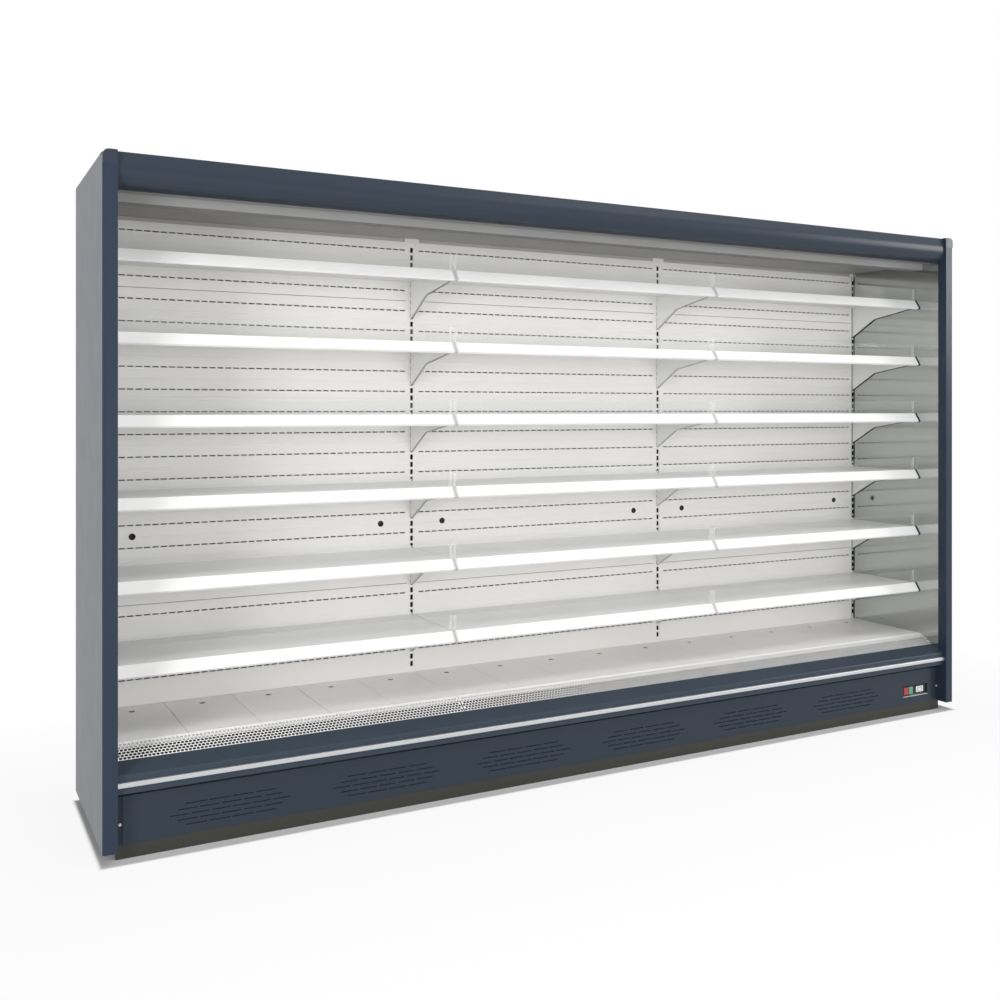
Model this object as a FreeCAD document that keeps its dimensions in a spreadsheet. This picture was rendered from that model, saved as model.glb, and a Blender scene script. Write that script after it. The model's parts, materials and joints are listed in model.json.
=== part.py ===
"""Open multideck display fridge, three bays long, free-standing and plug-in.

Frame: +X along the length (to the right of a shopper who faces it), +Y to the back, +Z up.
The origin is on the floor, at the middle of the length and of the depth. Lengths are in mm.
"""
import FreeCAD, Part
import math
import os
from types import SimpleNamespace

import Sketcher

TRAYS_PER_BAY = 5
SHELF_LEVELS = 6
OUTLETS_PER_BAY = 4
MIDDLE_SLIT_ROWS = 14
UPPER_SLIT_ROWS = 3
LOWER_SLIT_ROWS = 3
SLOTS_PER_SHELF_PITCH = 3
SLOTS_BELOW_FIRST_SHELF = 1
UPRIGHT_SLOTS = 18
LOUVRE_GROUPS = 6
LOUVRE_ROWS = 5
GRILLE_ROWS = 2
GRILLE_SLOTS_PER_ROW = 5
FAN_BLADES = 5
HEXAGON = 6
FEW_SIDES = 12
MANY_SIDES = 24

# alias, size, what it sets
DRIVING_SIZES = (
    ("bay_count", 3, "bays side by side"),
    ("bay_length", 1250, "one bay, from upright to upright"),
    ("cabinet_depth", 664, "front of the end trims to the back of the rear wall"),
    ("cabinet_height", 2243, "floor to the top of the header"),
    ("end_wall_thickness", 46, "end wall with its mirror lining"),
    ("end_wall_floor_gap", 38, "under the end walls"),
    ("lining_thickness", 3, "mirror lining of an end wall"),
    ("trim_depth", 46, "end trim, front to back"),
    ("trim_corner", 9, "rounded outer corner of an end trim"),
    ("corner_cap_height", 45, "cap on top of an end trim"),
    ("corner_cap_radius", 20, "rounded outer corner of that cap"),
    ("wall_top_radius", 12, "rounded outer top edge of an end wall"),
    ("foot_height", 30, "levelling foot, floor to base rail"),
    ("foot_pad_width", 50, "hexagonal pad of a foot, across its corners"),
    ("foot_pad_height", 8, "hexagonal pad of a foot"),
    ("foot_stud_width", 14, "stud of a foot"),
    ("tube_width", 50, "base rails, legs and beams"),
    ("tube_wall", 3, "wall of those tubes"),
    ("base_rail_height", 30, "base rail"),
    ("leg_height", 90, "leg between base rail and beam"),
    ("beam_height", 50, "beam under the tub"),
    ("base_front_inset", 85, "front plane to the front base rail"),
    ("base_rear_inset", 39, "back plane to the rear base rail"),
    ("leg_end_inset", 15, "end wall to the nearest leg"),
    ("tub_front_inset", 56, "front plane to the tub"),
    ("tub_floor_thickness", 30, "insulated floor of the tub"),
    ("tub_wall_thickness", 32, "insulated front wall of the tub"),
    ("tub_rim_level", 286, "top of the tub's front wall"),
    ("tub_corner", 12, "round inner corner of the tub"),
    ("drain_diameter", 32, "drain pipe, outside"),
    ("drain_wall", 2, "drain pipe wall"),
    ("drain_setback", 300, "front plane to the drain"),
    ("drain_pipe_drop", 45, "drain pipe below the tub"),
    ("rear_wall_thickness", 42, "insulated rear wall"),
    ("duct_depth", 36, "air duct between rear wall and back panels"),
    ("panel_sheet", 2, "back panels and ceiling"),
    ("roof_thickness", 42, "insulated roof"),
    ("canopy_duct_height", 33, "air duct above the ceiling"),
    ("header_height", 108, "ceiling to the top of the header"),
    ("header_back_inset", 73, "front plane to the back of the header"),
    ("header_bulge_inset", 9, "front plane to the most forward line of the header"),
    ("header_top_inset", 21, "front plane to the top edge of the header"),
    ("header_lip_inset", 24, "front plane to the bottom edge of the header"),
    ("header_lip_drop", 5, "header lip below the ceiling"),
    ("header_lip_rise", 3, "ceiling to the front of the header lip"),
    ("header_lip_radius", 20, "header lip"),
    ("header_bulge_low", 39, "ceiling to the lower turn of the header"),
    ("header_bulge_high", 65, "ceiling to the upper turn of the header"),
    ("header_turn_radius", 60, "both turns of the header"),
    ("header_top_radius", 8, "top edge of the header"),
    ("lamp_width", 66, "light under the header"),
    ("lamp_height", 16, "light under the header"),
    ("lamp_bulge", 5, "curved cover of the light below the ceiling"),
    ("lamp_radius", 60, "curved cover of the light"),
    ("honeycomb_width", 62, "air outlet, front to back"),
    ("honeycomb_height", 30, "air outlet"),
    ("honeycomb_slot", 44, "opening of the air outlet, front to back"),
    ("honeycomb_rib", 40, "solid part between two openings of the air outlet"),
    ("deck_level", 342, "top of the deck trays"),
    ("lower_panel_height", 368, "lower back panel"),
    ("slit_pitch", 83.3, "rows of slits in the middle and upper back panels"),
    ("lower_slit_pitch", 117, "rows of slits in the lower back panel"),
    ("lower_slit_drop", 40, "top of the lower back panel to its first row"),
    ("slit_height", 4, "air slit"),
    ("slit_margin", 31, "upright centre to the first slit"),
    ("panel_gap", 2, "between back panels stacked on each other"),
    ("panel_side_gap", 11, "upright centre to the edge of a back panel"),
    ("upright_width", 44, "slotted upright"),
    ("upright_sheet", 2.5, "slotted upright"),
    ("upright_slot_width", 12, "slot for a bracket hook"),
    ("upright_slot_height", 18, "slot for a bracket hook"),
    ("upright_cap_width", 62, "cap of an upright at the ceiling"),
    ("upright_cap_height", 15, "cap of an upright at the ceiling"),
    ("shelf_pitch", 275, "shelf to shelf"),
    ("first_shelf_level", 583, "top of the lowest shelf"),
    ("shelf_depth", 398, "shelf, front to back"),
    ("shelf_sheet", 2, "shelf plate"),
    ("shelf_front_flange", 24, "shelf plate, folded down in front"),
    ("shelf_upstand", 8, "shelf plate, folded up at the back"),
    ("shelf_end_gap", 2.5, "shelf end to the upright centre"),
    ("shelf_back_gap", 1, "shelf to back panel"),
    ("bracket_sheet", 2.5, "shelf bracket"),
    ("bracket_inset", 2.5, "bracket to the upright centre"),
    ("bracket_front_gap", 20, "shelf front to bracket"),
    ("bracket_front_drop", 36, "front of the bracket below the shelf top"),
    ("bracket_knee_reach", 150, "upright to the knee of the bracket"),
    ("bracket_knee_drop", 71, "knee of the bracket below the shelf top"),
    ("bracket_knee_radius", 40, "knee of the bracket"),
    ("bracket_heel_drop", 155, "heel of the bracket below the shelf top"),
    ("hook_top_drop", 22, "first hook below the shelf top"),
    ("hook_height", 12, "neck of a hook"),
    ("hook_lip", 6, "lip of a hook below its neck"),
    ("hook_sheet", 3, "lip of a hook, front to back"),
    ("hook_clearance", 0.5, "lip of a hook to the upright"),
    ("rail_reach", 30, "ticket rail in front of the shelf"),
    ("rail_height", 43, "ticket rail"),
    ("rail_sheet", 2.5, "ticket rail"),
    ("rail_face", 3.75, "leaning face of a ticket rail, front to back"),
    ("rail_proud", 2, "ticket rail above the shelf top"),
    ("rail_crest", 5, "top edge of a ticket rail, front to back"),
    ("rail_chamfer", 6, "cut-off lower corner of a ticket rail"),
    ("rail_foot", 17, "foot of a ticket rail, front to back"),
    ("riser_height", 60, "clear riser above the shelf"),
    ("riser_sheet", 3, "clear riser"),
    ("tray_front_inset", 152, "front plane to the deck trays"),
    ("tray_gap", 2, "between two deck trays"),
    ("tray_flange", 20, "deck tray, folded down all round"),
    ("tray_sheet", 2, "deck tray"),
    ("finger_hole_diameter", 24, "finger hole of a deck tray"),
    ("finger_hole_setback", 73, "back panel to the finger hole"),
    ("deck_rail_width", 14, "rail that the deck trays rest on"),
    ("deck_rail_height", 14, "rail that the deck trays rest on"),
    ("deck_plate", 3, "plate that holds those rails"),
    ("grille_front_inset", 84, "front plane to the return air grille"),
    ("grille_front_level", 302, "front edge of the grille"),
    ("grille_sheet", 2, "return air grille"),
    ("grille_top_flat", 6, "flat top edge of the grille"),
    ("grille_slot_width", 16, "slot of the grille, front to back"),
    ("grille_slot_rib", 40, "between two slots in a row"),
    ("nose_front_inset", 20, "front plane to the nose"),
    ("nose_bottom_level", 211, "bottom of the nose"),
    ("nose_shoulder_level", 272, "top of the upright front of the nose"),
    ("nose_radius", 7, "rounded edges of the nose"),
    ("bumper_level", 235, "bottom of the bumper strip"),
    ("bumper_height", 17, "bumper strip"),
    ("bumper_depth", 10, "bumper strip"),
    ("bumper_radius", 4, "rounded edges of the bumper strip"),
    ("kick_inset", 45, "front plane to the kick panel"),
    ("kick_sheet", 2, "kick panel"),
    ("kick_flange", 28, "kick panel, folded back at the top"),
    ("plinth_height", 46, "plinth strip"),
    ("plinth_sheet", 3, "plinth strip"),
    ("filler_width", 21, "filler at each end of the kick panel"),
    ("louvre_first", 368, "left end wall to the middle of the first louvre group"),
    ("louvre_pitch", 557, "louvre group to louvre group"),
    ("louvre_width", 400, "longest row of a louvre group"),
    ("louvre_short_width", 300, "shortest row of a louvre group"),
    ("louvre_row_pitch", 17, "row to row"),
    ("louvre_slot", 4.5, "height of a louvre slot"),
    ("louvre_level", 110, "middle of a louvre group"),
    ("cutout_leg_gap", 12, "control cut-out to the last leg of the base"),
    ("cutout_width", 160, "control cut-out"),
    ("cutout_height", 48, "control cut-out"),
    ("cutout_level", 107, "middle of the control cut-out"),
    ("housing_rim", 6, "control housing round the cut-out"),
    ("housing_depth", 55, "control housing"),
    ("housing_recess", 12, "kick panel to the face of the control housing"),
    ("button_height", 34, "push buttons"),
    ("stop_button_width", 30, "stop button"),
    ("start_button_width", 27, "start button"),
    ("stop_button_offset", 25, "cut-out edge to the middle of the stop button"),
    ("start_button_offset", 57, "cut-out edge to the middle of the start button"),
    ("button_proud", 8, "push button in front of its housing"),
    ("button_depth", 20, "push button inside its housing"),
    ("button_travel", 4, "push button"),
    ("button_clearance", 0.5, "push button to its well"),
    ("controller_width", 76, "temperature controller"),
    ("controller_height", 34, "temperature controller"),
    ("controller_proud", 5, "temperature controller in front of its housing"),
    ("controller_depth", 30, "temperature controller inside its housing"),
    ("controller_offset", 117, "cut-out edge to the middle of the controller"),
    ("display_width", 48, "display of the controller"),
    ("display_height", 28, "display of the controller"),
    ("display_sunk", 1, "display below the face of the controller"),
    ("coil_depth", 150, "evaporator, front to back"),
    ("coil_rear_gap", 24, "evaporator to the face of the uprights"),
    ("coil_height", 70, "evaporator"),
    ("coil_end_gap", 60, "evaporator end to the upright centre"),
    ("coil_foot", 8, "end plates of the evaporator below its fins"),
    ("coil_plate", 4, "end plates of the evaporator"),
    ("fan_deck_front_inset", 176, "front plane to the lower edge of the fan deck"),
    ("fan_deck_length", 229, "fan deck along its slope"),
    ("fan_deck_angle", 21, "slope of the fan deck, in degrees"),
    ("fan_deck_sheet", 2, "fan deck"),
    ("fan_diameter", 146, "evaporator fan"),
    ("fan_tip_gap", 5, "evaporator fan to its opening in the fan deck"),
    ("fan_hub_diameter", 48, "hub of a fan"),
    ("fan_hub_height", 16, "hub of a fan"),
    ("fan_shaft_diameter", 8, "shaft of a fan"),
    ("fan_shaft_length", 12, "shaft of a fan"),
    ("shaft_clearance", 0.05, "shaft to bearing, all round"),
    ("blade_root_radius", 19, "root of a fan blade, inside the hub"),
    ("blade_chord", 38, "fan blade"),
    ("blade_thickness", 2, "fan blade"),
    ("blade_pitch_angle", 18, "lean of a fan blade, in degrees"),
    ("motor_width", 52, "square can of a fan motor"),
    ("motor_height", 20, "fan motor"),
    ("motor_gap", 2, "fan motor to hub"),
    ("strap_width", 14, "strap that holds a fan motor"),
    ("strap_sheet", 2, "strap that holds a fan motor"),
    ("pan_length", 620, "condensing unit pan"),
    ("pan_level", 24, "underside of the condensing unit pan"),
    ("pan_sheet", 2, "condensing unit pan"),
    ("pan_middle", 1160, "middle of the pan, right of the middle of the cabinet"),
    ("compressor_diameter", 150, "compressor"),
    ("compressor_height", 150, "compressor with its feet"),
    ("compressor_offset", 200, "middle of the pan to the compressor"),
    ("compressor_setback", 380, "front plane to the middle of the compressor"),
    ("compressor_foot_plate", 6, "foot plate of the compressor"),
    ("compressor_foot_width", 170, "foot plate of the compressor"),
    ("compressor_foot_depth", 120, "foot plate of the compressor"),
    ("compressor_lid_height", 22, "stepped lid of the compressor"),
    ("compressor_lid_diameter", 112, "stepped lid of the compressor"),
    ("condenser_width", 300, "condenser"),
    ("condenser_height", 140, "condenser"),
    ("condenser_depth", 50, "condenser"),
    ("condenser_setback", 160, "front plane to the condenser"),
    ("condenser_offset", 100, "middle of the pan to the condenser"),
    ("condenser_fan_diameter", 112, "condenser fan"),
    ("condenser_fan_gap", 5, "fan to its shroud"),
    ("shroud_depth", 40, "fan shroud on the condenser"),
)


class Size:
    """A length that keeps its number together with the sheet formula that gives it."""

    def __init__(self, number, formula):
        self.number = number
        self.formula = formula

    def _combine(self, other, sign, swap=False):
        first, second = (as_size(other), self) if swap else (self, as_size(other))
        number = {
            "+": lambda a, b: a + b,
            "-": lambda a, b: a - b,
            "*": lambda a, b: a * b,
            "/": lambda a, b: a / b,
        }[sign](first.number, second.number)
        return Size(number, f"({first.formula} {sign} {second.formula})")

    def __add__(self, other):
        return self._combine(other, "+")

    def __sub__(self, other):
        return self._combine(other, "-")

    def __mul__(self, other):
        return self._combine(other, "*")

    def __truediv__(self, other):
        return self._combine(other, "/")

    def __radd__(self, other):
        return self._combine(other, "+", swap=True)

    def __rsub__(self, other):
        return self._combine(other, "-", swap=True)

    def __rmul__(self, other):
        return self._combine(other, "*", swap=True)

    def __neg__(self):
        return 0 - self


def as_size(value):
    return value if isinstance(value, Size) else Size(value, repr(value))


# ---------------------------------------------------------------- document and sheet

doc = FreeCAD.newDocument("display_fridge")
sheet = doc.addObject("Spreadsheet::Sheet", "Sizes")
v = SimpleNamespace()
for row, (alias, number, meaning) in enumerate(DRIVING_SIZES, start=1):
    sheet.set(f"A{row}", alias)
    sheet.set(f"B{row}", str(number))
    sheet.setAlias(f"B{row}", alias)
    sheet.set(f"C{row}", meaning)
    setattr(v, alias, Size(number, f"Sizes.{alias}"))
doc.recompute()

BAYS = v.bay_count.number
parts = []

# lines and levels that several sub-parts share
right = v.bay_length * v.bay_count / 2
left = -right
inner_length = right - left
front = -v.cabinet_depth / 2
back = v.cabinet_depth / 2
top = v.cabinet_height
tub_underside = v.foot_height + v.base_rail_height + v.leg_height + v.beam_height
tub_floor = tub_underside + v.tub_floor_thickness
ceiling = top - v.header_height
roof_underside = ceiling + v.panel_sheet + v.canopy_duct_height
duct_back = back - v.rear_wall_thickness
upright_face = duct_back - v.duct_depth
panel_face = upright_face - v.panel_sheet
shelf_back = panel_face - v.shelf_back_gap
shelf_front = shelf_back - v.shelf_depth
tray_front = front + v.tray_front_inset
tray_underside = v.deck_level - v.tray_flange
lower_panel_top = v.deck_level + v.panel_gap + v.lower_panel_height
middle_panel_top = lower_panel_top + MIDDLE_SLIT_ROWS * v.slit_pitch
front_rail = front + v.base_front_inset
rear_rail = back - v.base_rear_inset - v.tube_width
rail_span = rear_rail - front_rail
first_leg = left + v.leg_end_inset
leg_span = inner_length - 2 * v.leg_end_inset - v.tube_width
deck_bay = (inner_length - v.deck_plate) / BAYS
fan_deck_front = front + v.fan_deck_front_inset
fan_opening = v.fan_diameter + 2 * v.fan_tip_gap
first_fan = left + (deck_bay + v.deck_plate) / 2
kick_face = front + v.kick_inset
kick_back = kick_face + v.kick_sheet
cutout_right = right - v.leg_end_inset - v.tube_width - v.cutout_leg_gap
control_face = kick_face + v.housing_recess


# ---------------------------------------------------------------- ways to make a sub-part


def new_body(label):
    body = doc.addObject("PartDesign::Body", label)
    body.Label = label
    parts.append(body)
    return body


def gather(label, bodies):
    """One sub-part of separate pieces that are welded where they touch."""
    frame = doc.addObject("Part::Compound", label)
    frame.Label = label
    frame.Links = bodies
    for body in bodies:
        parts.remove(body)
    parts.append(frame)


def place(body, x, y, z):
    """Moves a body that is made about its own origin."""
    for axis, distance in (("x", x), ("y", y), ("z", z)):
        body.setExpression(f".Placement.Base.{axis}", as_size(distance).formula)


def origin_feature(body, role):
    return next(f for f in body.Origin.OriginFeatures if f.Role == role)


def new_sketch(body, plane, offset=0):
    """A sketch on one of the body's own origin planes, moved along that plane's normal."""
    sketch = body.newObject("Sketcher::SketchObject", f"{body.Label}_sketch")
    sketch.AttachmentSupport = [(origin_feature(body, plane), "")]
    sketch.MapMode = "FlatFace"
    sketch.setExpression(".AttachmentOffset.Base.z", as_size(offset).formula)
    return sketch


def fix(sketch, constraint, size):
    """Adds a dimension and ties it to the sheet."""
    index = sketch.addConstraint(constraint)
    sketch.setExpression(f"Constraints[{index}]", as_size(size).formula)


def fix_point(sketch, geometry, point, across, up):
    across, up = as_size(across), as_size(up)
    fix(sketch, Sketcher.Constraint("DistanceX", -1, 1, geometry, point, across.number), across)
    fix(sketch, Sketcher.Constraint("DistanceY", -1, 1, geometry, point, up.number), up)


def draw_outline(sketch, corners):
    """A closed outline. A corner is (across, up), or (across, up, radius) where it is round."""
    points = [FreeCAD.Vector(as_size(c[0]).number, as_size(c[1]).number, 0) for c in corners]
    radii = [as_size(c[2]) if len(c) > 2 else None for c in corners]
    count = len(corners)
    cuts = []
    for i, radius in enumerate(radii):
        if radius is None:
            cuts.append((points[i], points[i]))
            continue
        before = (points[i - 1] - points[i]).normalize()
        after = (points[(i + 1) % count] - points[i]).normalize()
        reach = radius.number / math.tan(before.getAngle(after) / 2)
        cuts.append((points[i] + before * reach, points[i] + after * reach))
    lines = [
        sketch.addGeometry(Part.LineSegment(cuts[i][1], cuts[(i + 1) % count][0]), False)
        for i in range(count)
    ]
    for i, corner in enumerate(corners):
        line_in, line_out = lines[i - 1], lines[i]
        if radii[i] is None:
            sketch.addConstraint(Sketcher.Constraint("Coincident", line_in, 2, line_out, 1))
            fix_point(sketch, line_out, 1, corner[0], corner[1])
            continue
        start, end = cuts[i]
        inward = ((start + end) * 0.5 - points[i]).normalize()
        half = (points[i] - start).getAngle(points[i] - end) / 2
        centre = points[i] + inward * (radii[i].number / math.sin(half))
        middle = centre - inward * radii[i].number
        arc = sketch.addGeometry(Part.Arc(start, middle, end), False)
        first = sketch.getPoint(arc, 1)
        near, far = (1, 2) if (first - start).Length < (first - end).Length else (2, 1)
        sketch.addConstraint(Sketcher.Constraint("Tangent", line_in, 2, arc, near))
        sketch.addConstraint(Sketcher.Constraint("Tangent", arc, far, line_out, 1))
        fix(sketch, Sketcher.Constraint("Radius", arc, radii[i].number), radii[i])
        tip = sketch.addGeometry(Part.Point(points[i]), True)
        sketch.addConstraint(Sketcher.Constraint("PointOnObject", tip, 1, line_in))
        sketch.addConstraint(Sketcher.Constraint("PointOnObject", tip, 1, line_out))
        fix_point(sketch, tip, 1, corner[0], corner[1])


def draw_box(sketch, across_low, up_low, across_high, up_high):
    draw_outline(
        sketch,
        [
            (across_low, up_low),
            (across_high, up_low),
            (across_high, up_high),
            (across_low, up_high),
        ],
    )


def draw_circle(sketch, across, up, diameter):
    centre = FreeCAD.Vector(as_size(across).number, as_size(up).number, 0)
    radius = as_size(diameter) / 2
    circle = sketch.addGeometry(
        Part.Circle(centre, FreeCAD.Vector(0, 0, 1), radius.number), False
    )
    fix_point(sketch, circle, 3, across, up)
    fix(sketch, Sketcher.Constraint("Radius", circle, radius.number), radius)


def draw_polygon(sketch, across, up, diameter, sides):
    """A regular outline of many sides, for openings and pieces that need no true round."""
    across, up = as_size(across), as_size(up)
    corners = []
    for side in range(sides):
        turn = 360 / sides * (side + 0.5)
        run = Size(math.cos(math.radians(turn)), f"cos({turn})")
        rise = Size(math.sin(math.radians(turn)), f"sin({turn})")
        corners.append((across + diameter / 2 * run, up + diameter / 2 * rise))
    draw_outline(sketch, corners)


def pad(body, sketch, length, reverse=False):
    feature = body.newObject("PartDesign::Pad", f"{body.Label}_pad")
    feature.Profile = sketch
    feature.setExpression("Length", as_size(length).formula)
    feature.Reversed = reverse
    return feature


def cut_through(body, sketch):
    """Cuts both ways from the sketch, right through the body."""
    feature = body.newObject("PartDesign::Pocket", f"{body.Label}_cut")
    feature.Profile = sketch
    feature.Type = "ThroughAll"
    feature.Midplane = True
    return feature


def cut_to(body, sketch, depth, upwards=False):
    """Cuts backwards from a front sketch; from a plan, downwards or upwards."""
    feature = body.newObject("PartDesign::Pocket", f"{body.Label}_pocket")
    feature.Profile = sketch
    feature.setExpression("Length", as_size(depth).formula)
    feature.Reversed = upwards
    return feature


def repeat(body, features, axis, count, span, axis2=None, count2=1, span2=0):
    """Copies features along one or two of the body's axes; a span is first copy to last."""
    pattern = body.newObject("PartDesign::LinearPattern", f"{body.Label}_pattern")
    pattern.Originals = features
    pattern.Direction = (origin_feature(body, axis), [""])
    pattern.Occurrences = count
    pattern.setExpression("Length", as_size(span).formula)
    if axis2:
        pattern.Direction2 = (origin_feature(body, axis2), [""])
        pattern.Occurrences2 = count2
        pattern.setExpression("Length2", as_size(span2).formula)
    body.Tip = pattern
    return pattern


def mirror_ends(body, features):
    """Copies features to the other end of the cabinet."""
    feature = body.newObject("PartDesign::Mirrored", f"{body.Label}_mirror")
    feature.Originals = features
    feature.MirrorPlane = (origin_feature(body, "YZ_Plane"), [""])
    body.Tip = feature
    return feature


def along_x(body, corners, start, length):
    """A side profile, corners (y, z), run along the length."""
    sketch = new_sketch(body, "YZ_Plane", start)
    draw_outline(sketch, corners)
    return pad(body, sketch, length)


def along_y(body, corners, start, length):
    """A front profile, corners (x, z), run from front to back."""
    sketch = new_sketch(body, "XZ_Plane", -as_size(start))
    draw_outline(sketch, corners)
    return pad(body, sketch, length, reverse=True)


def along_z(body, corners, start, length):
    """A plan, corners (x, y), run upwards."""
    sketch = new_sketch(body, "XY_Plane", start)
    draw_outline(sketch, corners)
    return pad(body, sketch, length)


def block(body, low, high):
    return along_z(
        body,
        [(low[0], low[1]), (high[0], low[1]), (high[0], high[1]), (low[0], high[1])],
        low[2],
        high[2] - low[2],
    )


# ---------------------------------------------------------------- base


def base_frame():
    """Two rails, eight legs and four beams of square tube, open at their ends."""
    wall = v.tube_wall
    rail_bottom, rail_top = v.foot_height, v.foot_height + v.base_rail_height
    beam_bottom = rail_top + v.leg_height

    rails = new_body("base_rails")
    rail = new_sketch(rails, "YZ_Plane", left)
    draw_box(rail, front_rail, rail_bottom, front_rail + v.tube_width, rail_top)
    draw_box(
        rail,
        front_rail + wall,
        rail_bottom + wall,
        front_rail + v.tube_width - wall,
        rail_top - wall,
    )
    tube = pad(rails, rail, inner_length)
    repeat(rails, [tube], "Y_Axis", 2, rail_span)

    legs = new_body("base_legs")
    leg = new_sketch(legs, "XY_Plane", rail_top)
    draw_box(leg, first_leg, front_rail, first_leg + v.tube_width, front_rail + v.tube_width)
    draw_box(
        leg,
        first_leg + wall,
        front_rail + wall,
        first_leg + v.tube_width - wall,
        front_rail + v.tube_width - wall,
    )
    tube = pad(legs, leg, v.leg_height)
    repeat(legs, [tube], "X_Axis", BAYS + 1, leg_span, "Y_Axis", 2, rail_span)

    beams = new_body("base_beams")
    beam = new_sketch(beams, "XZ_Plane", -front_rail)
    draw_box(beam, first_leg, beam_bottom, first_leg + v.tube_width, tub_underside)
    draw_box(
        beam,
        first_leg + wall,
        beam_bottom + wall,
        first_leg + v.tube_width - wall,
        tub_underside - wall,
    )
    tube = pad(beams, beam, rail_span + v.tube_width, reverse=True)
    repeat(beams, [tube], "X_Axis", BAYS + 1, leg_span)
    gather("base_frame", [rails, legs, beams])


def levelling_feet():
    """Hexagonal pads on square studs, one under each leg."""
    body = new_body("levelling_feet")
    x = first_leg + v.tube_width / 2
    y = front_rail + v.tube_width / 2
    half = v.foot_stud_width / 2
    hexagon = new_sketch(body, "XY_Plane")
    draw_polygon(hexagon, x, y, v.foot_pad_width, HEXAGON)
    foot_pad = pad(body, hexagon, v.foot_pad_height)
    stud = block(
        body, (x - half, y - half, v.foot_pad_height), (x + half, y + half, v.foot_height)
    )
    repeat(body, [foot_pad, stud], "X_Axis", BAYS + 1, leg_span, "Y_Axis", 2, rail_span)


def insulated_tub():
    """Foam-filled trough that catches the return air and the melt water."""
    body = new_body("insulated_tub")
    outer = front + v.tub_front_inset
    inner = outer + v.tub_wall_thickness
    drain = front + v.drain_setback
    along_x(
        body,
        [
            (outer, tub_underside),
            (duct_back, tub_underside),
            (duct_back, tub_floor),
            (inner, tub_floor, v.tub_corner),
            (inner, v.tub_rim_level),
            (outer, v.tub_rim_level),
        ],
        left,
        inner_length,
    )
    hole = new_sketch(body, "XY_Plane", tub_underside)
    draw_polygon(hole, v.pan_middle, drain, v.drain_diameter, FEW_SIDES)
    cut_through(body, hole)


def drain_pipe():
    """Pipe bonded into the tub, which drips into the pan of the condensing unit."""
    body = new_body("drain_pipe")
    drain = front + v.drain_setback
    bottom = tub_underside - v.drain_pipe_drop
    pipe = new_sketch(body, "XY_Plane", bottom)
    draw_polygon(pipe, v.pan_middle, drain, v.drain_diameter, FEW_SIDES)
    pad(body, pipe, tub_floor - bottom)
    bore = new_sketch(body, "XY_Plane", bottom)
    inside = v.drain_diameter - 2 * v.drain_wall
    draw_polygon(bore, v.pan_middle, drain, inside, FEW_SIDES)
    cut_through(body, bore)


# ---------------------------------------------------------------- carcass


def rear_wall():
    body = new_body("rear_wall")
    block(body, (left, duct_back, tub_underside), (right, back, roof_underside))


def roof_panel():
    body = new_body("roof_panel")
    block(
        body,
        (left, front + v.header_back_inset, roof_underside),
        (right, back, roof_underside + v.roof_thickness),
    )


def end_wall(label, side):
    """Foam-filled wall, its outer top edge rounded. side is -1 on the left, 1 on the right."""
    body = new_body(label)
    inner = side * (right + v.lining_thickness)
    outer = side * (right + v.end_wall_thickness)
    along_y(
        body,
        [
            (inner, v.end_wall_floor_gap),
            (outer, v.end_wall_floor_gap),
            (outer, top, v.wall_top_radius),
            (inner, top),
        ],
        front + v.trim_depth,
        v.cabinet_depth - v.trim_depth,
    )


def mirror_linings():
    body = new_body("mirror_linings")
    lining = block(
        body,
        (right, front + v.trim_depth, v.end_wall_floor_gap),
        (right + v.lining_thickness, back, top),
    )
    mirror_ends(body, [lining])


def end_trims():
    """Painted profiles that close the front edges of the end walls."""
    body = new_body("end_trims")
    outer = right + v.end_wall_thickness
    trim = along_z(
        body,
        [
            (right, front + v.trim_depth),
            (right, front),
            (outer, front, v.trim_corner),
            (outer, front + v.trim_depth),
        ],
        v.end_wall_floor_gap,
        top - v.corner_cap_height - v.end_wall_floor_gap,
    )
    mirror_ends(body, [trim])


def corner_caps():
    body = new_body("corner_caps")
    outer = right + v.end_wall_thickness
    cap = along_y(
        body,
        [
            (right, top - v.corner_cap_height),
            (outer, top - v.corner_cap_height),
            (outer, top, v.corner_cap_radius),
            (right, top),
        ],
        front,
        v.trim_depth,
    )
    mirror_ends(body, [cap])


# ---------------------------------------------------------------- header and ceiling


def header_fascia():
    """Bulging header, a closed profile from end trim to end trim."""
    body = new_body("header_fascia")
    bulge = front + v.header_bulge_inset
    rear = front + v.header_back_inset
    lip = ceiling - v.header_lip_drop
    along_x(
        body,
        [
            (rear, lip),
            (
                front + v.header_lip_inset,
                ceiling + v.header_lip_rise,
                v.header_lip_radius,
            ),
            (bulge, ceiling + v.header_bulge_low, v.header_turn_radius),
            (bulge, ceiling + v.header_bulge_high, v.header_turn_radius),
            (front + v.header_top_inset, top, v.header_top_radius),
            (rear, top),
        ],
        left,
        inner_length,
    )


def canopy_lamp():
    """Light along the front of the ceiling, with a curved cover."""
    body = new_body("canopy_lamp")
    near = front + v.header_back_inset
    far = near + v.lamp_width
    along_x(
        body,
        [
            (near, ceiling + v.lamp_height),
            (near, ceiling),
            (near + v.lamp_width / 2, ceiling - v.lamp_bulge, v.lamp_radius),
            (far, ceiling),
            (far, ceiling + v.lamp_height),
        ],
        left,
        inner_length,
    )


def air_honeycomb():
    """Air outlet; its openings stand for the fine cells of the real honeycomb."""
    body = new_body("air_honeycomb")
    near = front + v.header_back_inset + v.lamp_width
    far = near + v.honeycomb_width
    margin = (v.honeycomb_width - v.honeycomb_slot) / 2
    pitch = v.bay_length / OUTLETS_PER_BAY
    block(body, (left, near, ceiling), (right, far, ceiling + v.honeycomb_height))
    slot = new_sketch(body, "XY_Plane", ceiling)
    draw_box(
        slot,
        left + v.honeycomb_rib / 2,
        near + margin,
        left + pitch - v.honeycomb_rib / 2,
        far - margin,
    )
    opening = cut_through(body, slot)
    repeat(body, [opening], "X_Axis", OUTLETS_PER_BAY * BAYS, inner_length - pitch)


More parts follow.
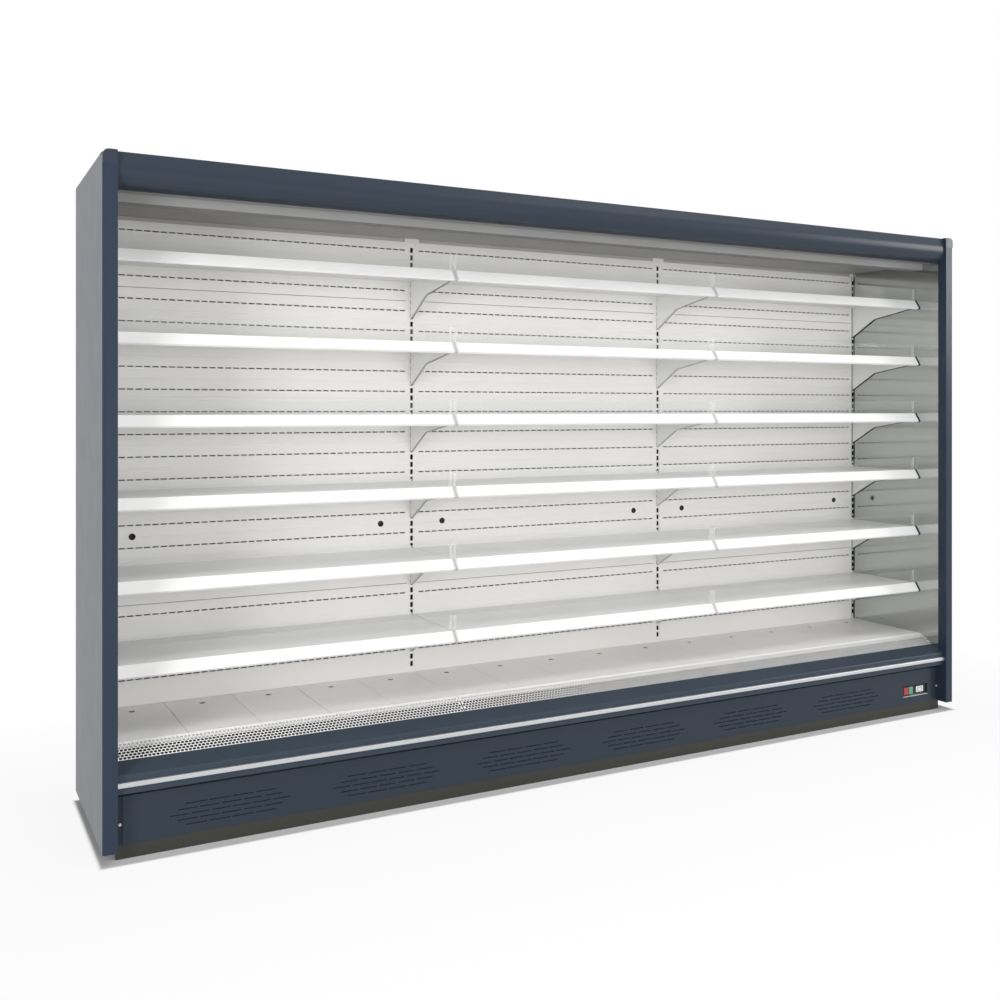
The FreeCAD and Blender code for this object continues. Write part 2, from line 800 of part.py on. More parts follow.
def ceiling_panel():
    """Flat ceiling sheet, its front edge folded up against the air outlet."""
    body = new_body("ceiling_panel")
    near = front + v.header_back_inset + v.lamp_width + v.honeycomb_width
    sheet_top = ceiling + v.panel_sheet
    along_x(
        body,
        [
            (near, ceiling),
            (duct_back, ceiling),
            (duct_back, sheet_top),
            (near + v.panel_sheet, sheet_top),
            (near + v.panel_sheet, roof_underside),
            (near, roof_underside),
        ],
        left,
        inner_length,
    )


# ---------------------------------------------------------------- back of the display space


def slit_rows(body, first_level, rows, pitch):
    """Rows of air slits across every bay; one long slit stands for a row of short ones."""
    row = new_sketch(body, "XZ_Plane", -panel_face)
    draw_box(
        row,
        left + v.slit_margin,
        first_level - v.slit_height / 2,
        left + v.bay_length - v.slit_margin,
        first_level + v.slit_height / 2,
    )
    slit = cut_through(body, row)
    span = (rows - 1) * pitch
    repeat(body, [slit], "X_Axis", BAYS, (BAYS - 1) * v.bay_length, "Z_Axis", rows, span)


def back_panels():
    """Three slitted sheets in each bay, clipped to the uprights and stacked on each other."""
    body = new_body("back_panels")
    low = left + v.panel_side_gap
    high = left + v.bay_length - v.panel_side_gap
    levels = (
        (v.deck_level + v.panel_gap, lower_panel_top - v.panel_gap),
        (lower_panel_top, middle_panel_top - v.panel_gap),
        (middle_panel_top, ceiling),
    )
    for bottom, panel_top in levels:
        panel = block(body, (low, panel_face, bottom), (high, upright_face, panel_top))
        repeat(body, [panel], "X_Axis", BAYS, (BAYS - 1) * v.bay_length)
    half_row = v.slit_pitch / 2
    lowest_row = (
        lower_panel_top - v.lower_slit_drop - (LOWER_SLIT_ROWS - 1) * v.lower_slit_pitch
    )
    slit_rows(body, lowest_row, LOWER_SLIT_ROWS, v.lower_slit_pitch)
    slit_rows(body, lower_panel_top + half_row, MIDDLE_SLIT_ROWS, v.slit_pitch)
    slit_rows(body, middle_panel_top + half_row, UPPER_SLIT_ROWS, v.slit_pitch)


def slotted_uprights():
    """Channel posts with hook slots: whole ones between bays, half ones at the end walls."""
    body = new_body("slotted_uprights")
    gauge = v.upright_sheet
    half = v.upright_width / 2
    bottom = tub_floor

    whole = [
        (-half, upright_face),
        (half, upright_face),
        (half, duct_back),
        (half - gauge, duct_back),
        (half - gauge, upright_face + gauge),
        (gauge - half, upright_face + gauge),
        (gauge - half, duct_back),
        (-half, duct_back),
    ]
    half_right = [
        (0, upright_face),
        (half, upright_face),
        (half, duct_back),
        (half - gauge, duct_back),
        (half - gauge, upright_face + gauge),
        (0, upright_face + gauge),
    ]
    height = ceiling - bottom
    centre = left + v.bay_length
    post = along_z(body, [(centre + x, y) for x, y in whole], bottom, height)
    repeat(body, [post], "X_Axis", BAYS - 1, (BAYS - 2) * v.bay_length)
    along_z(body, [(left + x, y) for x, y in half_right], bottom, height)
    along_z(body, [(right - x, y) for x, y in half_right], bottom, height)

    cap_half = v.upright_cap_width / 2
    cap = block(
        body,
        (
            centre - cap_half,
            panel_face - v.panel_sheet,
            ceiling - v.upright_cap_height,
        ),
        (centre + cap_half, panel_face, ceiling),
    )
    stem = block(
        body,
        (
            centre - v.panel_side_gap / 2,
            panel_face,
            ceiling - v.upright_cap_height,
        ),
        (centre + v.panel_side_gap / 2, upright_face, ceiling),
    )
    repeat(body, [cap, stem], "X_Axis", BAYS - 1, (BAYS - 2) * v.bay_length)

    pitch = v.shelf_pitch / SLOTS_PER_SHELF_PITCH
    hook_seat = v.first_shelf_level - v.hook_top_drop - v.hook_height
    lowest = hook_seat - SLOTS_BELOW_FIRST_SHELF * pitch
    slot = new_sketch(body, "XZ_Plane", -upright_face)
    draw_box(
        slot,
        left - v.upright_slot_width / 2,
        lowest,
        left + v.upright_slot_width / 2,
        lowest + v.upright_slot_height,
    )
    notch = cut_to(body, slot, v.upright_sheet)
    span = (UPRIGHT_SLOTS - 1) * pitch
    repeat(body, [notch], "X_Axis", BAYS + 1, inner_length, "Z_Axis", UPRIGHT_SLOTS, span)


# ---------------------------------------------------------------- shelves


def repeat_over_shelves(body, features):
    repeat(
        body,
        features,
        "X_Axis",
        BAYS,
        (BAYS - 1) * v.bay_length,
        "Z_Axis",
        SHELF_LEVELS,
        (SHELF_LEVELS - 1) * v.shelf_pitch,
    )


def shelves(bay):
    """Six folded shelf plates of one bay."""
    body = new_body(f"shelves_bay_{bay + 1}")
    level = v.first_shelf_level
    under = level - v.shelf_sheet
    plate = along_x(
        body,
        [
            (shelf_front, level),
            (shelf_front, level - v.shelf_front_flange),
            (shelf_front + v.shelf_sheet, level - v.shelf_front_flange),
            (shelf_front + v.shelf_sheet, under),
            (shelf_back, under),
            (shelf_back, level + v.shelf_upstand),
            (shelf_back - v.shelf_sheet, level + v.shelf_upstand),
            (shelf_back - v.shelf_sheet, level),
        ],
        left + bay * v.bay_length + v.shelf_end_gap,
        v.bay_length - 2 * v.shelf_end_gap,
    )
    repeat(body, [plate], "Z_Axis", SHELF_LEVELS, (SHELF_LEVELS - 1) * v.shelf_pitch)


def shelf_brackets():
    """Kneed bracket plates, a pair under every shelf, hooked into the uprights."""
    body = new_body("shelf_brackets")
    level = v.first_shelf_level
    pitch = v.shelf_pitch / SLOTS_PER_SHELF_PITCH
    lip_front = upright_face + v.upright_sheet + v.hook_clearance
    lip_back = lip_front + v.hook_sheet

    def hook(drop):
        neck_bottom = level - drop - v.hook_height
        return [
            (upright_face, level - drop),
            (lip_back, level - drop),
            (lip_back, neck_bottom - v.hook_lip),
            (lip_front, neck_bottom - v.hook_lip),
            (lip_front, neck_bottom),
            (upright_face, neck_bottom),
        ]

    corners = [
        (shelf_front + v.bracket_front_gap, level - v.shelf_sheet),
        (upright_face, level - v.shelf_sheet),
        *hook(v.hook_top_drop),
        *hook(v.hook_top_drop + pitch),
        (upright_face, level - v.bracket_heel_drop),
        (
            upright_face - v.bracket_knee_reach,
            level - v.bracket_knee_drop,
            v.bracket_knee_radius,
        ),
        (shelf_front + v.bracket_front_gap, level - v.bracket_front_drop),
    ]
    span = v.bay_length - 2 * v.bracket_inset - v.bracket_sheet
    pair = [
        along_x(body, corners, left + v.bracket_inset, v.bracket_sheet),
        along_x(body, corners, left + v.bracket_inset + span, v.bracket_sheet),
    ]
    repeat_over_shelves(body, pair)


def ticket_rails():
    """Open ticket rails that lean forward from the front of every shelf."""
    body = new_body("ticket_rails")
    level = v.first_shelf_level
    gauge = v.rail_sheet
    toe = shelf_front - v.rail_reach
    crest = level + v.rail_proud
    bottom = crest - v.rail_height
    face_back = toe + v.rail_face
    foot_back = toe + v.rail_foot
    rail = along_x(
        body,
        [
            (shelf_front, crest),
            (shelf_front - v.rail_crest, crest),
            (toe, bottom + v.rail_chamfer),
            (toe + v.rail_chamfer, bottom),
            (foot_back, bottom),
            (foot_back, bottom + gauge),
            (toe + v.rail_chamfer + gauge / 2, bottom + gauge),
            (face_back, bottom + v.rail_chamfer + gauge / 2),
            (shelf_front - gauge, crest - v.rail_crest - gauge),
            (shelf_front - gauge, level - v.shelf_front_flange),
            (shelf_front, level - v.shelf_front_flange),
        ],
        left + v.shelf_end_gap,
        v.bay_length - 2 * v.shelf_end_gap,
    )
    repeat_over_shelves(body, [rail])


def shelf_risers():
    """Clear upright strips that keep goods on the shelves."""
    body = new_body("shelf_risers")
    near = shelf_front + v.rail_sheet
    riser = block(
        body,
        (left + v.shelf_end_gap, near, v.first_shelf_level),
        (
            left + v.bay_length - v.shelf_end_gap,
            near + v.riser_sheet,
            v.first_shelf_level + v.riser_height,
        ),
    )
    repeat_over_shelves(body, [riser])


# ---------------------------------------------------------------- deck


def deck_supports():
    """Four plates that stand in the tub and two rails across them, under the trays."""
    plates = new_body("deck_plates")
    rails = new_body("deck_rails")
    rail_underside = tray_underside - v.deck_rail_height
    near_rail = tray_front - v.tray_gap
    far_rail = panel_face - v.deck_rail_width
    plate_low = front + v.tub_front_inset + v.tub_wall_thickness + v.tub_corner
    plate = along_x(
        plates,
        [
            (plate_low, tub_floor),
            (panel_face, tub_floor),
            (panel_face, rail_underside),
            (near_rail, rail_underside),
            (plate_low, v.tub_rim_level - v.tub_corner),
        ],
        left,
        v.deck_plate,
    )
    repeat(plates, [plate], "X_Axis", BAYS + 1, inner_length - v.deck_plate)
    for rail in (near_rail, far_rail):
        along_x(
            rails,
            [
                (rail, rail_underside),
                (rail + v.deck_rail_width, rail_underside),
                (rail + v.deck_rail_width, tray_underside),
                (rail, tray_underside),
            ],
            left,
            inner_length,
        )
    gather("deck_supports", [plates, rails])


def deck_tray(number):
    """Lift-out tray, folded down all round, with a finger hole."""
    body = new_body(f"deck_tray_{number + 1:02d}")
    pitch = v.bay_length / TRAYS_PER_BAY
    low = left + number * pitch + v.tray_gap / 2
    high = low + pitch - v.tray_gap
    rear = panel_face - v.shelf_back_gap
    block(body, (low, tray_front, tray_underside), (high, rear, v.deck_level))
    hollow = new_sketch(body, "XY_Plane", tray_underside)
    gauge = v.tray_sheet
    draw_box(hollow, low + gauge, tray_front + gauge, high - gauge, rear - gauge)
    cut_to(body, hollow, v.tray_flange - gauge, upwards=True)
    hole = new_sketch(body, "XY_Plane", v.deck_level)
    setback = panel_face - v.finger_hole_setback
    draw_polygon(
        hole, (low + high) / 2, setback, v.finger_hole_diameter, FEW_SIDES
    )
    cut_through(body, hole)


def return_grilles():
    """Sloping return air grilles; their slots stand for rows of round holes."""
    body = new_body("return_grilles")
    gauge = v.grille_sheet
    near = front + v.grille_front_inset
    far = tray_front - v.tray_gap
    crest = v.deck_level - gauge
    bay_low = left + v.shelf_end_gap
    sheet_profile = along_x(
        body,
        [
            (near, v.grille_front_level),
            (far - v.grille_top_flat, crest),
            (far, crest),
            (far, tray_underside),
            (far - gauge, tray_underside),
            (far - gauge, crest - gauge),
            (far - v.grille_top_flat, crest - gauge),
            (near, v.grille_front_level - gauge),
        ],
        bay_low,
        v.bay_length - 2 * v.shelf_end_gap,
    )
    repeat(body, [sheet_profile], "X_Axis", BAYS, (BAYS - 1) * v.bay_length)
    row_pitch = (far - v.grille_top_flat - near) / GRILLE_ROWS
    slot_pitch = v.bay_length / GRILLE_SLOTS_PER_ROW
    slot = new_sketch(body, "XY_Plane", v.deck_level)
    draw_box(
        slot,
        left + v.grille_slot_rib / 2,
        near + (row_pitch - v.grille_slot_width) / 2,
        left + slot_pitch - v.grille_slot_rib / 2,
        near + (row_pitch + v.grille_slot_width) / 2,
    )
    opening = cut_through(body, slot)
    repeat(
        body,
        [opening],
        "X_Axis",
        GRILLE_SLOTS_PER_ROW * BAYS,
        inner_length - slot_pitch,
        "Y_Axis",
        GRILLE_ROWS,
        (GRILLE_ROWS - 1) * row_pitch,
    )


# ---------------------------------------------------------------- front below the grille


def front_nose():
    """Closed profile in front of the tub; it carries the bumper strip."""
    body = new_body("front_nose")
    face = front + v.nose_front_inset
    tub_face = front + v.tub_front_inset
    lip = front + v.grille_front_inset
    along_x(
        body,
        [
            (tub_face, v.nose_bottom_level),
            (face, v.nose_bottom_level, v.nose_radius),
            (face, v.nose_shoulder_level, v.nose_radius),
            (lip, v.grille_front_level),
            (lip, v.tub_rim_level),
            (tub_face, v.tub_rim_level),
        ],
        left,
        inner_length,
    )


def bumper_strip():
    body = new_body("bumper_strip")
    seat = front + v.nose_front_inset
    crest = seat - v.bumper_depth
    bumper_top = v.bumper_level + v.bumper_height
    along_x(
        body,
        [
            (seat, v.bumper_level),
            (crest, v.bumper_level, v.bumper_radius),
            (crest, bumper_top, v.bumper_radius),
            (seat, bumper_top),
        ],
        left,
        inner_length,
    )


def kick_panel():
    """Folded lower front with groups of louvre slots and the cut-out for the controls."""
    body = new_body("kick_panel")
    gauge = v.kick_sheet
    flange = kick_face + v.kick_flange
    low = left + v.filler_width
    along_x(
        body,
        [
            (kick_face, v.plinth_height),
            (flange, v.plinth_height),
            (flange, v.plinth_height + gauge),
            (kick_face + gauge, v.plinth_height + gauge),
            (kick_face + gauge, tub_underside - gauge),
            (flange, tub_underside - gauge),
            (flange, tub_underside),
            (kick_face, tub_underside),
        ],
        low,
        inner_length - 2 * v.filler_width,
    )
    middle_row = (LOUVRE_ROWS - 1) / 2
    taper = (v.louvre_width - v.louvre_short_width) / middle_row
    louvres = new_sketch(body, "XZ_Plane", -kick_face)
    for row in range(LOUVRE_ROWS):
        steps = row - middle_row
        half_width = (v.louvre_width - abs(steps) * taper) / 2
        level = v.louvre_level + steps * v.louvre_row_pitch
        draw_box(
            louvres,
            left + v.louvre_first - half_width,
            level - v.louvre_slot / 2,
            left + v.louvre_first + half_width,
            level + v.louvre_slot / 2,
        )
    group = cut_to(body, louvres, gauge)
    repeat(body, [group], "X_Axis", LOUVRE_GROUPS, (LOUVRE_GROUPS - 1) * v.louvre_pitch)
    window = new_sketch(body, "XZ_Plane", -kick_face)
    draw_box(
        window,
        cutout_right - v.cutout_width,
        v.cutout_level - v.cutout_height / 2,
        cutout_right,
        v.cutout_level + v.cutout_height / 2,
    )
    cut_to(body, window, gauge)


def kick_fillers():
    body = new_body("kick_fillers")
    filler = block(
        body,
        (right - v.filler_width, kick_back, v.plinth_height),
        (right, kick_back + v.kick_sheet, tub_underside),
    )
    mirror_ends(body, [filler])


def plinth_strip():
    """Angle that closes the gap to the floor, fixed to the front base rail."""
    body = new_body("plinth_strip")
    gauge = v.plinth_sheet
    along_x(
        body,
        [
            (kick_back, 0),
            (kick_back + gauge, 0),
            (kick_back + gauge, v.plinth_height - gauge),
            (front_rail, v.plinth_height - gauge),
            (front_rail, v.plinth_height),
            (kick_back, v.plinth_height),
        ],
        left,
        inner_length,
    )


# ---------------------------------------------------------------- controls


def draw_panel_rectangle(sketch, offset, width, height):
    """A rectangle on the control panel; offset is from the left edge of the cut-out."""
    middle = cutout_right - v.cutout_width + offset
    draw_box(
        sketch,
        middle - width / 2,
        v.cutout_level - height / 2,
        middle + width / 2,
        v.cutout_level + height / 2,
    )


def control_housing():
    """Housing behind the cut-out, with wells for both buttons and the controller."""
    body = new_body("control_housing")
    rim = v.housing_rim
    low = cutout_right - v.cutout_width - rim
    block(
        body,
        (low, kick_back, v.cutout_level - v.cutout_height / 2 - rim),
        (
            cutout_right + rim,
            kick_back + v.housing_depth,
            v.cutout_level + v.cutout_height / 2 + rim,
        ),
    )
    recess = new_sketch(body, "XZ_Plane", -kick_back)
    draw_panel_rectangle(recess, v.cutout_width / 2, v.cutout_width, v.cutout_height)
    cut_to(body, recess, control_face - kick_back)
    play = 2 * v.button_clearance
    well_depth = v.button_depth + v.button_travel + v.button_clearance
    wells = new_sketch(body, "XZ_Plane", -control_face)
    for offset, width in (
        (v.stop_button_offset, v.stop_button_width),
        (v.start_button_offset, v.start_button_width),
    ):
        draw_panel_rectangle(wells, offset, width + play, v.button_height + play)
    cut_to(body, wells, well_depth)
    seat = new_sketch(body, "XZ_Plane", -control_face)
    draw_panel_rectangle(seat, v.controller_offset, v.controller_width, v.controller_height)
    cut_to(body, seat, v.controller_depth)


def push_button(label, offset, width):
    """Square push button, run in from the front."""
    body = new_body(label)
    cap = new_sketch(body, "XZ_Plane", -(control_face - v.button_proud))
    draw_panel_rectangle(cap, offset, width, v.button_height)
    pad(body, cap, v.button_proud + v.button_depth, reverse=True)


def temperature_controller():
    """Controller with a sunk display."""
    body = new_body("temperature_controller")
    case_front = control_face - v.controller_proud
    case = new_sketch(body, "XZ_Plane", -case_front)
    draw_panel_rectangle(case, v.controller_offset, v.controller_width, v.controller_height)
    pad(body, case, v.controller_proud + v.controller_depth, reverse=True)
    display = new_sketch(body, "XZ_Plane", -case_front)
    draw_panel_rectangle(display, v.controller_offset, v.display_width, v.display_height)
    cut_to(body, display, v.display_sunk)


# ---------------------------------------------------------------- cooling


def evaporator_coils():
    """One finned coil for each bay, on two end plates that stand in the tub."""
    body = new_body("evaporator_coils")
    rear = upright_face - v.coil_rear_gap
    near = rear - v.coil_depth
    low = left + v.coil_end_gap
    high = left + v.bay_length - v.coil_end_gap
    fins_bottom = tub_floor + v.coil_foot
    fins_top = fins_bottom + v.coil_height
    fins = block(
        body,
        (low, near + v.coil_plate, fins_bottom),
        (high, rear - v.coil_plate, fins_top - v.coil_plate),
    )
    ends = [
        block(body, (x, near, tub_floor), (x + v.coil_plate, rear, fins_top))
        for x in (low - v.coil_plate, high)
    ]
    repeat(body, [fins, *ends], "X_Axis", BAYS, (BAYS - 1) * v.bay_length)


def tilt(body, x, y, z):
    """Moves a body made flat at the origin to its place on the sloping fan deck."""
    place(body, x, y, z)
    for axis, share in (("x", "1"), ("y", "0"), ("z", "0")):
        body.setExpression(f".Placement.Rotation.Axis.{axis}", share)
    body.setExpression(".Placement.Rotation.Angle", v.fan_deck_angle.formula)


def fan_deck():
    """Sloping sheet in each bay that parts the return air from the coil, with a fan opening."""
    body = new_body("fan_deck")
    plate = block(
        body,
        (left + v.deck_plate, 0, 0),
        (left + deck_bay, v.fan_deck_length, v.fan_deck_sheet),
    )
    repeat(body, [plate], "X_Axis", BAYS, (BAYS - 1) * deck_bay)
    opening = new_sketch(body, "XY_Plane")
    middle = v.fan_deck_length / 2
    draw_polygon(opening, first_fan, middle, fan_opening, MANY_SIDES)
    hole = cut_through(body, opening)
    repeat(body, [hole], "X_Axis", BAYS, (BAYS - 1) * deck_bay)
    tilt(body, 0, fan_deck_front, tub_floor)


def fan_motors():
    """Motor of each evaporator fan, held over its opening by a strap."""
    body = new_body("fan_motors")
    x = first_fan
    y = v.fan_deck_length / 2
    motor_bottom = v.fan_hub_height / 2 + v.motor_gap
    motor_top = motor_bottom + v.motor_height
    strap_top = motor_top + v.strap_sheet
    reach = fan_opening / 2 + v.strap_width
    strap = new_sketch(body, "XZ_Plane", -(y - v.strap_width / 2))
    draw_outline(
        strap,
        [
            (x - reach, v.fan_deck_sheet),
            (x - reach + v.strap_sheet, v.fan_deck_sheet),
            (x - reach + v.strap_sheet, motor_top),
            (x + reach - v.strap_sheet, motor_top),
            (x + reach - v.strap_sheet, v.fan_deck_sheet),
            (x + reach, v.fan_deck_sheet),
            (x + reach, strap_top),
            (x - reach, strap_top),
        ],
    )
    bridge = pad(body, strap, v.strap_width, reverse=True)
    half = v.motor_width / 2
    motor = block(body, (x - half, y - half, motor_bottom), (x + half, y + half, motor_top))
    bearing = new_sketch(body, "XY_Plane", motor_bottom)
    draw_circle(bearing, x, y, v.fan_shaft_diameter + 2 * v.shaft_clearance)
    bore = cut_to(body, bearing, v.fan_shaft_length, upwards=True)
    repeat(body, [bridge, motor, bore], "X_Axis", BAYS, (BAYS - 1) * deck_bay)
    tilt(body, 0, fan_deck_front, tub_floor)


def impeller(label, diameter):
    """Hub, shaft and leaning blades, made about the body's own Z axis."""
    body = new_body(label)
    hub_half = v.fan_hub_height / 2
    disc = new_sketch(body, "XY_Plane", -hub_half)
    draw_polygon(disc, 0, 0, v.fan_hub_diameter, FEW_SIDES)
    pad(body, disc, v.fan_hub_height)
    shaft = new_sketch(body, "XY_Plane", hub_half)
    draw_circle(shaft, 0, 0, v.fan_shaft_diameter)
    pad(body, shaft, v.fan_shaft_length)
    chord = v.blade_chord
    half = v.blade_thickness / 2
    lean = math.radians(v.blade_pitch_angle.number)
    rise = chord * Size(math.tan(lean), "tan(Sizes.blade_pitch_angle)")
    section = new_sketch(body, "XZ_Plane", -v.blade_root_radius)
    draw_outline(
        section,
        [
            (-chord / 2, -rise / 2 - half),
            (chord / 2, rise / 2 - half),
            (chord / 2, rise / 2 + half),
            (-chord / 2, half - rise / 2),
        ],
    )
    blade = pad(body, section, diameter / 2 - v.blade_root_radius, reverse=True)
    blades = body.newObject("PartDesign::PolarPattern", f"{label}_blades")
    blades.Originals = [blade]
    blades.Axis = (origin_feature(body, "Z_Axis"), [""])
    blades.Angle = 360
    blades.Occurrences = FAN_BLADES
    body.Tip = blades
    return body


def evaporator_fan(bay):
    body = impeller(f"evaporator_fan_{bay + 1}", v.fan_diameter)
    slope = math.radians(v.fan_deck_angle.number)
    run = v.fan_deck_length / 2 * Size(math.cos(slope), "cos(Sizes.fan_deck_angle)")
    rise = v.fan_deck_length / 2 * Size(math.sin(slope), "sin(Sizes.fan_deck_angle)")
    tilt(body, first_fan + bay * deck_bay, fan_deck_front + run, tub_floor + rise)


def unit_pan():
    """Pan between the base rails that carries the condensing unit and takes the melt water."""
    body = new_body("unit_pan")
    near = front_rail + v.tube_width
    low = v.pan_middle - v.pan_length / 2
    high = v.pan_middle + v.pan_length / 2
    rim = v.foot_height + v.base_rail_height
    gauge = v.pan_sheet
    block(body, (low, near, v.pan_level), (high, rear_rail, rim))
    inside = new_sketch(body, "XY_Plane", v.pan_level + gauge)
    draw_box(inside, low + gauge, near + gauge, high - gauge, rear_rail - gauge)
    cut_to(body, inside, rim - v.pan_level, upwards=True)


def compressor():
    """Welded can with a stepped lid, on a foot plate."""
    body = new_body("compressor")
    plate = v.compressor_foot_plate
    half_width = v.compressor_foot_width / 2
    half_depth = v.compressor_foot_depth / 2
    block(body, (-half_width, -half_depth, 0), (half_width, half_depth, plate))
    lid_bottom = v.compressor_height - v.compressor_lid_height
    for bottom, can_top, diameter in (
        (plate, lid_bottom, v.compressor_diameter),
        (lid_bottom, v.compressor_height, v.compressor_lid_diameter),
    ):
        outline = new_sketch(body, "XY_Plane", bottom)
        draw_polygon(outline, 0, 0, diameter, MANY_SIDES)
        pad(body, outline, can_top - bottom)
    place(
        body,
        v.pan_middle + v.compressor_offset,
        front + v.compressor_setback,
        v.pan_level + v.pan_sheet,
    )


def condenser_coil():
    """Finned condenser with a fan shroud behind it."""
    body = new_body("condenser_coil")
    near = front + v.condenser_setback
    coil_back = near + v.condenser_depth
    bottom = v.pan_level + v.pan_sheet
    middle = v.pan_middle - v.condenser_offset
    low = middle - v.condenser_width / 2
    high = middle + v.condenser_width / 2
    axis_level = bottom + v.condenser_height / 2
    block(body, (low, near, bottom), (high, coil_back, bottom + v.condenser_height))
    shroud = new_sketch(body, "XZ_Plane", -coil_back)
    draw_box(
        shroud,
        middle - v.condenser_height / 2,
        bottom,
        middle + v.condenser_height / 2,
        bottom + v.condenser_height,
    )
    opening = v.condenser_fan_diameter + 2 * v.condenser_fan_gap
    draw_polygon(shroud, middle, axis_level, opening, MANY_SIDES)
    pad(body, shroud, v.shroud_depth, reverse=True)


def condenser_motor():
    """Motor of the condenser fan on a strap across the shroud."""
    body = new_body("condenser_motor")
    rear = front + v.condenser_setback + v.condenser_depth + v.shroud_depth
    bottom = v.pan_level + v.pan_sheet
    middle = v.pan_middle - v.condenser_offset
    level = bottom + v.condenser_height / 2
    block(
        body,
        (middle - v.condenser_height / 2, rear, level - v.strap_width / 2),
        (middle + v.condenser_height / 2, rear + v.strap_sheet, level + v.strap_width / 2),
    )
    half = v.motor_width / 2
    block(
        body,
        (middle - half, rear, level - half),
        (middle + half, rear + v.motor_height, level + half),
    )
    bearing = new_sketch(body, "XZ_Plane", -rear)
    draw_circle(bearing, middle, level, v.fan_shaft_diameter + 2 * v.shaft_clearance)
    cut_to(body, bearing, v.fan_shaft_length)


def condenser_fan():
    """Fan with its shaft to the back, its hub just in front of the motor."""
    body = impeller("condenser_fan", v.condenser_fan_diameter)
    rear = front + v.condenser_setback + v.condenser_depth + v.shroud_depth
    body.Placement.Rotation = FreeCAD.Rotation(FreeCAD.Vector(1, 0, 0), -90)
    place(
        body,
        v.pan_middle - v.condenser_offset,
        rear - v.fan_hub_height / 2 - v.motor_gap,
        v.pan_level + v.pan_sheet + v.condenser_height / 2,
    )


# ---------------------------------------------------------------- assembly

base_frame()
levelling_feet()
insulated_tub()
drain_pipe()
rear_wall()
roof_panel()
end_wall("end_wall_left", -1)
end_wall("end_wall_right", 1)
mirror_linings()
end_trims()
corner_caps()
header_fascia()
canopy_lamp()
air_honeycomb()
ceiling_panel()
back_panels()
slotted_uprights()
for bay in range(BAYS):
    shelves(bay)
shelf_brackets()
ticket_rails()
shelf_risers()
deck_supports()
for number in range(BAYS * TRAYS_PER_BAY):
    deck_tray(number)
return_grilles()
front_nose()
bumper_strip()
kick_panel()
kick_fillers()
plinth_strip()
control_housing()
push_button("stop_button", v.stop_button_offset, v.stop_button_width)
push_button("start_button", v.start_button_offset, v.start_button_width)
temperature_controller()
evaporator_coils()
fan_deck()
fan_motors()
for bay in range(BAYS):
    evaporator_fan(bay)
unit_pan()
compressor()
condenser_coil()
condenser_motor()
condenser_fan()

doc.recompute()

for item in doc.Objects:
    if {"Invalid", "Error"} & set(item.State):
        raise RuntimeError(f"{item.Label} failed: {item.State}")
    if item.TypeId == "PartDesign::Pocket":
        if item.Shape.Volume >= item.BaseFeature.Shape.Volume:
            raise RuntimeError(f"{item.Label} cuts nothing")
for part in parts:
    if part.Shape.isNull() or not part.Shape.isValid():
        raise RuntimeError(f"{part.Label} has no valid shape")

os.makedirs("parts", exist_ok=True)
for part in parts:
    part.Shape.exportStep(f"parts/{part.Label}.step")
print(f"{len(parts)} sub-parts written")
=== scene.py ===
"""Open multideck display fridge: finishes, fine perforations, small fittings, light and camera.

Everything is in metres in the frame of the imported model: +X along the length, +Y to the back,
+Z up, with the origin on the floor in the middle of the cabinet.
"""

import json
import math

import bmesh
import bpy
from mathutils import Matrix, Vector

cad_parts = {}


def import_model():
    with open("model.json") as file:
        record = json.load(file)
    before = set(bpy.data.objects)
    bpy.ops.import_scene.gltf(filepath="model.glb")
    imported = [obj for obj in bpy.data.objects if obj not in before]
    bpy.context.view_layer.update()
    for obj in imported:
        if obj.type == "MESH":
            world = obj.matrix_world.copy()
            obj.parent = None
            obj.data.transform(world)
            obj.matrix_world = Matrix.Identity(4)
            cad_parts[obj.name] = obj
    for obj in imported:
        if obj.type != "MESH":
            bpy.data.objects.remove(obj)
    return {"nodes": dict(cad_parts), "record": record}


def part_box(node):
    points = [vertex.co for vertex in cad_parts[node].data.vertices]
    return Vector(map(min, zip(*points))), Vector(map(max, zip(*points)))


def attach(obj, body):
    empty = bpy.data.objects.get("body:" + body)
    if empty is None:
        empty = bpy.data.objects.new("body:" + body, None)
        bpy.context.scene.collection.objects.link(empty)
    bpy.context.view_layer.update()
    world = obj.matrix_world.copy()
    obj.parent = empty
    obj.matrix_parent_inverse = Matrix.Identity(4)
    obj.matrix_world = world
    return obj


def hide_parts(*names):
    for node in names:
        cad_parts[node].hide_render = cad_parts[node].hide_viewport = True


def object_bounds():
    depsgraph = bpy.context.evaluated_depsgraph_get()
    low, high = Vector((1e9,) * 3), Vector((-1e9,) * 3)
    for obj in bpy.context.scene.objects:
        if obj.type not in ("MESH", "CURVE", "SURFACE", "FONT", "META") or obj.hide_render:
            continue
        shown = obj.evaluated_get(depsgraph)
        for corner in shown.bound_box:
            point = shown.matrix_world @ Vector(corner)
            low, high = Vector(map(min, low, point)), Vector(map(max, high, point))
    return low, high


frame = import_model()
cad_low, cad_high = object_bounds()

# ---------------------------------------------------------------- sizes

BAYS = 3
BAY = 1.250
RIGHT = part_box("header_fascia")[1].x
LEFT = -RIGHT
PANEL_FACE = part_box("back_panels")[0].y
UPRIGHT_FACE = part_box("back_panels")[1].y
DUCT_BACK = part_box("slotted_uprights")[1].y
TUB_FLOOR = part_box("slotted_uprights")[0].z
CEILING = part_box("ceiling_panel")[0].z
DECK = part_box("deck_tray_01")[1].z

